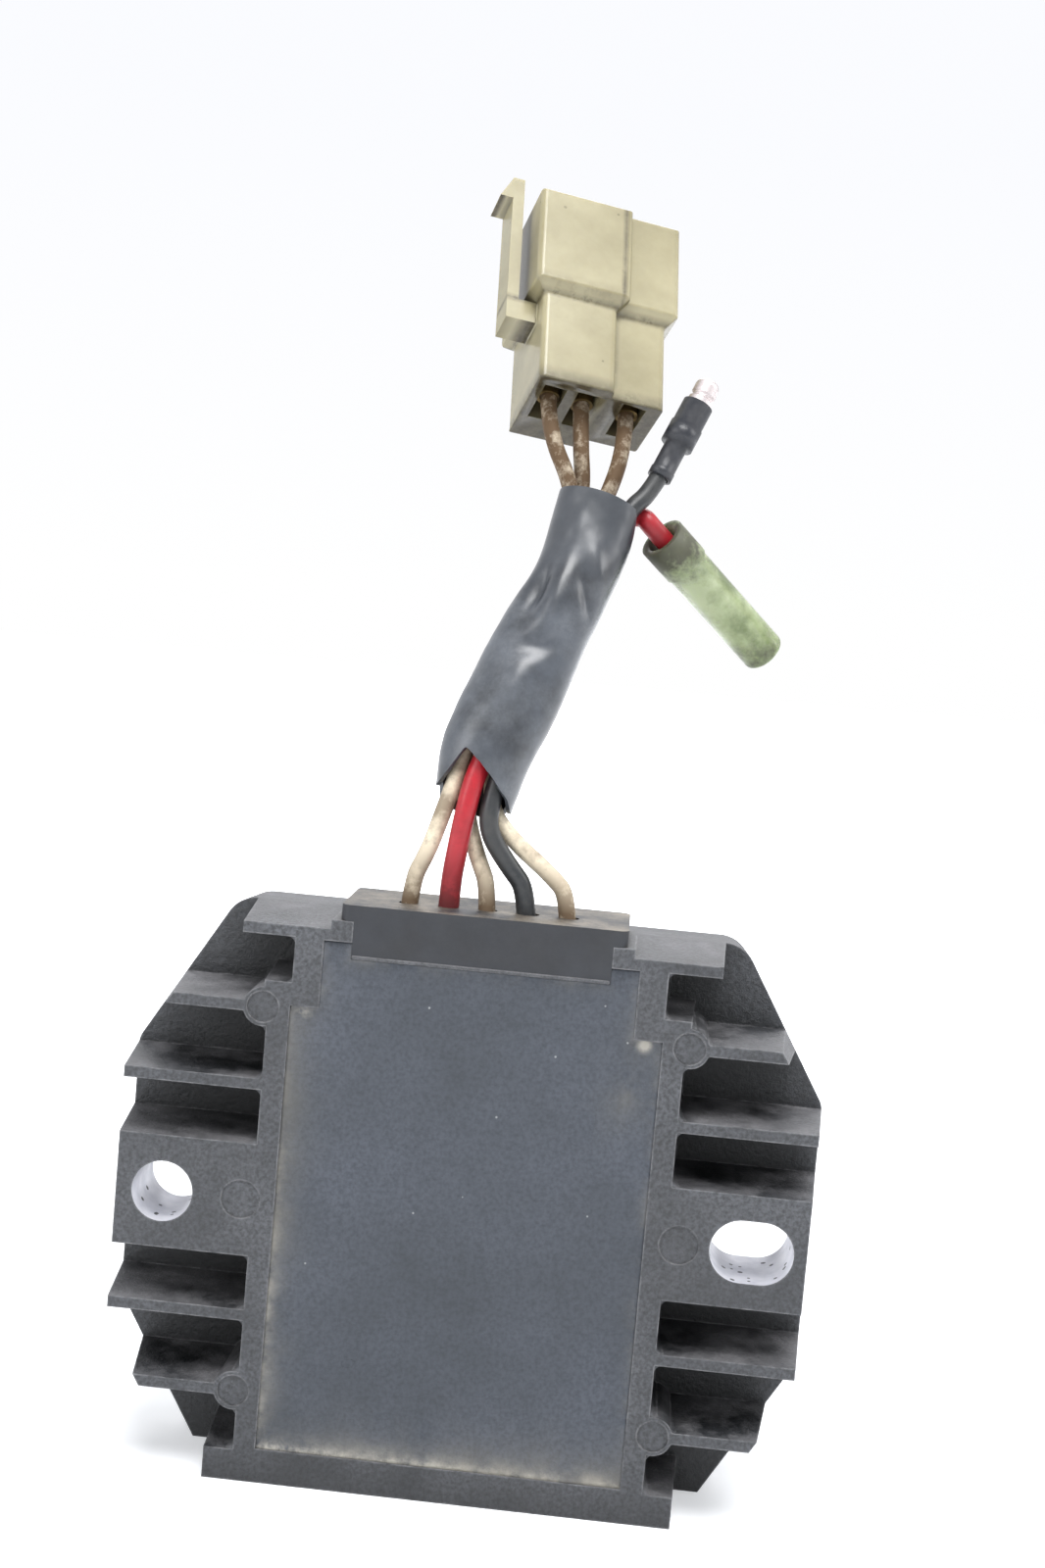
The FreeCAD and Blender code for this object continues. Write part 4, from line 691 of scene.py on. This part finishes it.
# Middle, half width and half thickness of the sleeve from its mouth to its rim, in mm
SLEEVE_STATIONS = [
    (Vector((-3.7, -3.9, 92.3)), 5.2, 4.2), (Vector((-2.3, -2.0, 100.6)), 6.18, 4.7),
    (Vector((0.4, 1.0, 108.0)), 6.5, 4.7), (Vector((3.4, 4.0, 116.3)), 6.05, 4.7),
    (Vector((6.9, 7.2, 124.6)), 5.59, 4.7), (Vector((8.6, 10.0, 131.0)), 5.85, 4.7),
    (Vector((9.3, 11.3, 135.2)), 5.85, 4.7),
]
MOUTH = [(-4.9, 101.1), (-9.9, 93.6), (-12.0, 86.0), (4.0, 86.0), (2.2, 90.4), (1.2, 94.3), (-0.7, 97.0),
         (-2.8, 99.3)]


def eased(before, first, last, after, share):
    """A smooth run through four stations, between the middle two."""
    return 0.5 * (2 * first + (last - before) * share + (2 * before - 5 * first + 4 * last - after) * share ** 2
                  + (3 * first - before - 3 * last + after) * share ** 3)


STATION_RUNS = [(SLEEVE_STATIONS[min(i + 1, len(SLEEVE_STATIONS) - 1)][0]
                 - SLEEVE_STATIONS[max(i - 1, 0)][0]).normalized() for i in range(len(SLEEVE_STATIONS))]
STATION_RUNS[-1] = Vector((0.25, 0.40, 1.0)).normalized()


def sleeve_point(along, angle):
    """A point of the sleeve's skin, and the way out of it, at a share of its length."""
    place = min(along, 0.99999) * (len(SLEEVE_STATIONS) - 1)
    step = int(place)
    near = [SLEEVE_STATIONS[max(0, min(len(SLEEVE_STATIONS) - 1, step + i))] for i in (-1, 0, 1, 2)]
    middle, wide, thick = (eased(*(station[i] for station in near), place - step) for i in range(3))
    run = STATION_RUNS[step].lerp(STATION_RUNS[step + 1], place - step).normalized()
    deep = run.cross(Vector((1, 0, 0))).normalized()
    side = deep.cross(run)
    out = side * (math.cos(angle) * wide) + deep * (math.sin(angle) * thick)
    return middle + out, out.normalized()


def in_mouth(point):
    """Whether a point of the skin lies in the wedge that is open at the mouth."""
    if point.y > -1.6:
        return False
    inside = False
    for (x1, z1), (x2, z2) in zip(MOUTH, MOUTH[1:] + MOUTH[:1]):
        if (z1 > point.z) != (z2 > point.z) and point.x < (x2 - x1) * (point.z - z1) / (z2 - z1) + x1:
            inside = not inside
    return inside


def in_dip(point):
    """Whether a point lies where two leads hang over the far part of the rim."""
    return math.hypot(point.x - 15.3, point.z - 134.3) < 4.9 and point.y > 9.4


def build_sleeve():
    """Soft vinyl sleeve, creased where the leads under it turn."""
    around, rows = 160, 150
    shape = bmesh.new()
    bmesh.ops.create_grid(shape, x_segments=around, y_segments=rows, size=0.5)
    starts, ends = [], []
    for place in range(around):
        angle = 2 * math.pi * place / around
        start, end = 0.0, 1.0
        while in_mouth(sleeve_point(start, angle)[0]) and start < 0.4:
            start += 0.002
        while in_dip(sleeve_point(end, angle)[0]) and end > 0.7:
            end -= 0.002
        starts.append(start)
        ends.append(end)
    for vert in shape.verts:
        place = round((vert.co.x + 0.5) * around) % around
        row = vert.co.y + 0.5
        angle = 2 * math.pi * place / around
        start = (starts[place - 1] + 2 * starts[place] + starts[(place + 1) % around]) / 4
        end = (ends[place - 1] + 2 * ends[place] + ends[(place + 1) % around]) / 4
        point, outward = sleeve_point(start + (end - start) * row, angle)
        vert.co = (point + outward * crease_depth(point, outward)) * MM
    bmesh.ops.remove_doubles(shape, verts=shape.verts, dist=0.000005)
    bmesh.ops.recalc_face_normals(shape, faces=shape.faces)
    middle = Vector((3.4, 4.0, 116.3)) * MM
    nearest = min(shape.faces, key=lambda face: (face.calc_center_median() - middle).length)
    if nearest.normal.dot(nearest.calc_center_median() - middle) < 0:
        bmesh.ops.reverse_faces(shape, faces=shape.faces)
    piece = finish_piece("vinyl_sleeve", shape, [VINYL], 75.0)
    wall = piece.modifiers.new("wall", "SOLIDIFY")
    wall.thickness = 0.6 * MM
    wall.offset = -1.0
    soften_edges(piece, 0.16 * MM, 2, 50.0)
    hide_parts("harness_sleeve")
    return piece


# Folds of the sleeve: a point on it, the way the fold runs, its length, width and height in mm
FOLDS = [
    ((5.0, 0.9, 122.0), (0.14, 0.23, 1.0), 6.5, 1.9, 0.75),
    ((2.0, 2.2, 122.6), (0.25, 0.3, 1.0), 4.5, 1.5, -1.1),
    ((3.0, -0.7, 115.0), (0.95, 0.0, 0.30), 3.4, 1.8, -0.7),
    ((8.9, 2.7, 122.8), (-0.35, 0.2, 1.0), 3.6, 1.0, -0.6),
    ((10.4, 3.3, 125.6), (-0.35, 0.2, 1.0), 4.0, 1.2, 0.4),
    ((-0.3, -3.6, 108.4), (0.45, 0.2, 1.0), 5.0, 2.6, 0.55),
    ((1.0, -2.6, 110.4), (0.5, 0.1, 1.0), 4.0, 2.4, 0.3),
    ((5.2, 0.6, 115.8), (0.6, 0.2, 1.0), 4.0, 1.4, -0.35),
    ((6.6, 5.9, 131.8), (0.2, 0.2, 1.0), 2.5, 1.5, 0.3),
]


def crease_depth(place, outward):
    """How far the sleeve's skin lies outside its smooth form, in mm."""
    depth = 0.14 * noise.noise(place * 0.17) + 0.035 * noise.noise(place * 0.6)
    for point, way, length, width, height in FOLDS:
        offset = place - Vector(point)
        run = Vector(way).normalized()
        along = offset.dot(run)
        across = (offset - run * along).length
        if outward.y < 0.35:
            depth += height * math.exp(-(along / length) ** 2 - (across / width) ** 2)
    return depth


def connector_weight(middle):
    """Outer corners of the moulding are round, its openings are crisp."""
    own = CONNECTOR_TURN.transposed() @ (middle - CONNECTOR_PLACE)
    hood = 1.5 if own.z > 15.0 else 0.0
    outer_x = min(abs(own.x + hood), abs(own.x - 18.95 - hood), abs(own.x - 11.1 - hood))
    outer_y = min(abs(own.y + hood), abs(own.y - 14.6 - hood), abs(own.y - 1.4 + hood), abs(own.y - 12.4 - hood))
    if outer_x < 0.05 and outer_y < 0.05:
        step_y = min(abs(own.y - 1.4 + hood), abs(own.y - 12.4 - hood))
        inner = abs(own.x - 11.1 - hood) < 0.05 and step_y < 0.05
        return 0.35 if inner else 1.0
    if own.y < -1.55:
        return 0.3
    if outer_x < 0.8 or outer_y < 0.8:
        return 0.3
    return 0.0


def build_connector():
    """Connector housing with eased edges and the full reach of its latch."""
    shape = copy_of("connector_housing")
    for vert in shape.verts:
        own = CONNECTOR_TURN.transposed() @ (vert.co / MM - CONNECTOR_PLACE)
        if own.y < -1.6 and own.z > 30.0:
            vert.co += CONNECTOR_TURN @ Vector((0.0, 0.0, 1.4)) * MM
    weigh_edges(shape, connector_weight)
    piece = finish_piece("connector_shell", shape, [NYLON])
    bevel = soften_edges(piece, 0.85 * MM, 4)
    bevel.limit_method = "WEIGHT"
    bevel.use_clamp_overlap = False
    level_normals(piece)
    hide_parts("connector_housing")
    return piece


def build_smooth(name, node, material):
    """A soft round piece, as its solid is but smooth."""
    piece = finish_piece(name, copy_of(node, flatten=0.0), [material], 50.0)
    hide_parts(node)
    return piece


# Leads: the same routes as the solids, in millimetres

def in_connector(across, up):
    """A point on the middle plane of the connector."""
    return CONNECTOR_PLACE + CONNECTOR_TURN @ Vector((across, 6.0, up))


LEADS = {
    "white_lead_1": ("white_insulation", 2.3, 0.0908, [
        (-11.0, -5.0, 69.0), (-11.0, -5.0, 81.8), (-8.8, -5.0, 86.6), (-7.4, -4.7, 91.6), (-6.2, -4.0, 96.0),
        (-5.3, -2.6, 100.6), (-2.9, 0.3, 108.0), (0.1, 3.5, 116.3), (3.6, 6.5, 124.6), (5.2, 9.3, 131.0),
        (5.7, 11.3, 136.6), in_connector(3.1, -4.0), in_connector(3.1, 4.0)]),
    "red_lead": ("red_insulation", 2.8, 0.0869, [
        (-5.5, -5.0, 69.0), (-5.5, -5.0, 81.8), (-5.0, -5.8, 86.4), (-4.3, -6.2, 91.8), (-3.6, -5.5, 96.4),
        (-2.3, -4.0, 100.6), (0.5, -0.6, 108.0), (3.6, 3.0, 116.3), (7.2, 6.8, 124.6), (10.8, 11.3, 130.0),
        (13.3, 13.1, 133.9), (15.6, 12.9, 134.1), RED_PLACE - 2.4 * RED_WAY, RED_PLACE + 7.5 * RED_WAY]),
    "white_lead_2": ("white_insulation", 2.3, 0.0896, [
        (0.0, -5.0, 69.0), (0.0, -5.0, 81.8), (-2.3, -4.1, 86.4), (-3.9, -2.8, 90.6), (-5.0, -1.5, 94.6),
        (-4.0, 0.1, 100.6), (-1.7, 3.1, 108.0), (1.2, 6.2, 116.3), (4.5, 9.1, 124.6), (5.4, 11.9, 131.0),
        (6.9, 13.5, 136.4), in_connector(8.1, -4.0), in_connector(8.1, 4.0)]),
    "black_lead": ("black_insulation", 2.6, 0.0842, [
        (5.5, -5.0, 69.0), (5.5, -5.0, 81.8), (1.6, -5.2, 86.2), (-1.2, -5.8, 90.4), (-0.9, -5.0, 94.8),
        (0.5, -2.8, 100.6), (3.4, 0.0, 108.0), (6.7, 2.9, 116.3), (10.1, 5.9, 124.6), (11.8, 8.5, 130.4),
        (13.6, 10.0, 134.9), BOOT_PLACE - 2.4 * BOOT_WAY, BOOT_PLACE + 4.6 * BOOT_WAY]),
    "white_lead_3": ("white_insulation", 2.3, 0.0939, [
        (11.0, -5.0, 69.0), (11.0, -5.0, 81.8), (7.4, -4.4, 85.2), (2.9, -3.6, 88.4), (-0.8, -3.1, 92.2),
        (-1.4, -1.5, 96.0), (-0.8, 0.1, 100.6), (1.2, 3.4, 108.0), (3.9, 6.6, 116.3), (7.0, 9.9, 124.6),
        (7.7, 12.6, 131.0), (10.3, 13.6, 136.4), in_connector(14.9, -4.0), in_connector(14.9, 4.0)]),
}


def build_lead(node, slot, diameter, points):
    """One lead as a smooth curve through the same points as its solid."""
    line = bpy.data.curves.new(node + "_line", "CURVE")
    line.dimensions = "3D"
    line.bevel_depth = diameter / 2 * MM
    line.bevel_resolution = 6
    line.resolution_u = 10
    line.use_fill_caps = True
    spline = line.splines.new("NURBS")
    spline.points.add(len(points) - 1)
    for point, place in zip(spline.points, points):
        point.co = (*(Vector(place) * MM), 1.0)
    spline.order_u = 3
    spline.use_endpoint_u = True
    line.materials.append(INSULATION[slot])
    piece = bpy.data.objects.new(node + "_insulation", line)
    bpy.context.scene.collection.objects.link(piece)
    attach(piece, "root")
    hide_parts(node)


build_casting()
build_webs()
build_resin_face()
build_block()
sleeve = build_sleeve()
shell = build_connector()
boot = build_smooth("soft_boot", "bullet_boot", BOOT)
green_sleeve = build_smooth("clear_sleeve", "bullet_sleeve", GREEN_SLEEVE)

for node, (slot, diameter, length, points) in LEADS.items():
    build_lead(node, slot, diameter, points)


# Floor, light and camera

def seen_plainly(tree):
    """One where the camera, gloss or glass looks, and nothing for all other light."""
    path = put(tree, "ShaderNodeLightPath")
    gloss_or_glass = maths(tree, "MAXIMUM", path.outputs["Is Glossy Ray"], path.outputs["Is Transmission Ray"])
    return maths(tree, "MAXIMUM", path.outputs["Is Camera Ray"], gloss_or_glass)


def build_world():
    """White where it is seen, and a soft dim sky for all other light."""
    world = bpy.data.worlds.new("studio")
    bpy.context.scene.world = world
    world.use_nodes = True
    tree = world.node_tree
    tree.nodes.clear()
    seen = seen_plainly(tree)
    way = put(tree, "ShaderNodeTexCoord").outputs["Generated"]
    height = spread(tree, put(tree, "ShaderNodeSeparateXYZ", {0: way}).outputs[2], 0.0, 0.22)
    tint = blend(tree, height, (1.0, 1.0, 1.0, 1.0), (0.96, 0.97, 1.0, 1.0))
    bright = put(tree, "ShaderNodeBackground", {"Color": tint, "Strength": 1.0})
    ambient = put(tree, "ShaderNodeBackground", {"Color": (0.93, 0.96, 1.0, 1.0), "Strength": 0.42})
    both = put(tree, "ShaderNodeMixShader", {0: seen, 1: ambient.outputs[0], 2: bright.outputs[0]})
    put(tree, "ShaderNodeOutputWorld", {0: both.outputs[0]})


def build_floor():
    """Pale floor that keeps the shadow near the object and goes white further out."""
    shape = bmesh.new()
    bmesh.ops.create_grid(shape, x_segments=1, y_segments=1, size=3.0)
    mesh = bpy.data.meshes.new("floor")
    shape.to_mesh(mesh)
    shape.free()
    floor = bpy.data.objects.new("floor", mesh)
    bpy.context.scene.collection.objects.link(floor)
    material, tree, shader = new_material("pale_floor")
    shader.inputs["Base Color"].default_value = (0.80, 0.81, 0.83, 1.0)
    shader.inputs["Roughness"].default_value = 0.9
    shader.inputs["Specular IOR Level"].default_value = 0.0
    shader.inputs["Emission Color"].default_value = (0.97, 0.98, 1.0, 1.0)
    coords = put(tree, "ShaderNodeTexCoord").outputs["Object"]
    away = put(tree, "ShaderNodeVectorMath", {0: coords}, operation="LENGTH").outputs["Value"]
    glow = spread(tree, away, 0.12, 0.5, 0.42, 1.2)
    tree.links.new(maths(tree, "MULTIPLY", glow, seen_plainly(tree)), shader.inputs["Emission Strength"])
    mesh.materials.append(material)


def add_lamp(name, place, aim, size, power):
    """One soft lamp turned to its aim."""
    lamp = bpy.data.lights.new(name, "AREA")
    lamp.shape = "RECTANGLE"
    lamp.size, lamp.size_y = size
    lamp.energy = power
    thing = bpy.data.objects.new(name, lamp)
    thing.location = place
    thing.rotation_euler = (Vector(aim) - Vector(place)).to_track_quat("-Z", "Y").to_euler()
    bpy.context.scene.collection.objects.link(thing)


def build_camera():
    """Camera at the photograph's place, turned as it was."""
    data = bpy.data.cameras.new("camera")
    data.sensor_fit = "VERTICAL"
    data.sensor_height = 36.0
    data.lens = 47.475
    data.clip_start = 0.01
    camera = bpy.data.objects.new("camera", data)
    right = Vector((0.99412, 0.06300, 0.08803))
    down = Vector((0.09307, -0.08215, -0.99226))
    ahead = Vector((-0.05528, 0.99463, -0.08753))
    turn = Matrix((right, -down, -ahead)).transposed().to_4x4()
    camera.matrix_world = Matrix.Translation(Vector((18.19, -278.77, 120.82)) * MM) @ turn
    bpy.context.scene.collection.objects.link(camera)
    bpy.context.scene.camera = camera


build_world()
build_floor()
add_lamp("key", (0.25, -0.75, 1.75), (0.0, 0.0, 0.08), (1.1, 0.9), 34.0)
add_lamp("fill", (-1.3, -1.0, 0.8), (0.0, 0.0, 0.08), (0.9, 0.9), 9.0)
add_lamp("side", (1.5, 0.1, 0.9), (0.0, 0.0, 0.08), (0.8, 0.8), 8.0)
add_lamp("back", (0.1, 1.3, 1.4), (0.0, 0.0, 0.1), (0.9, 0.9), 12.0)
build_camera()
bpy.context.scene.view_settings.view_transform = "Standard"
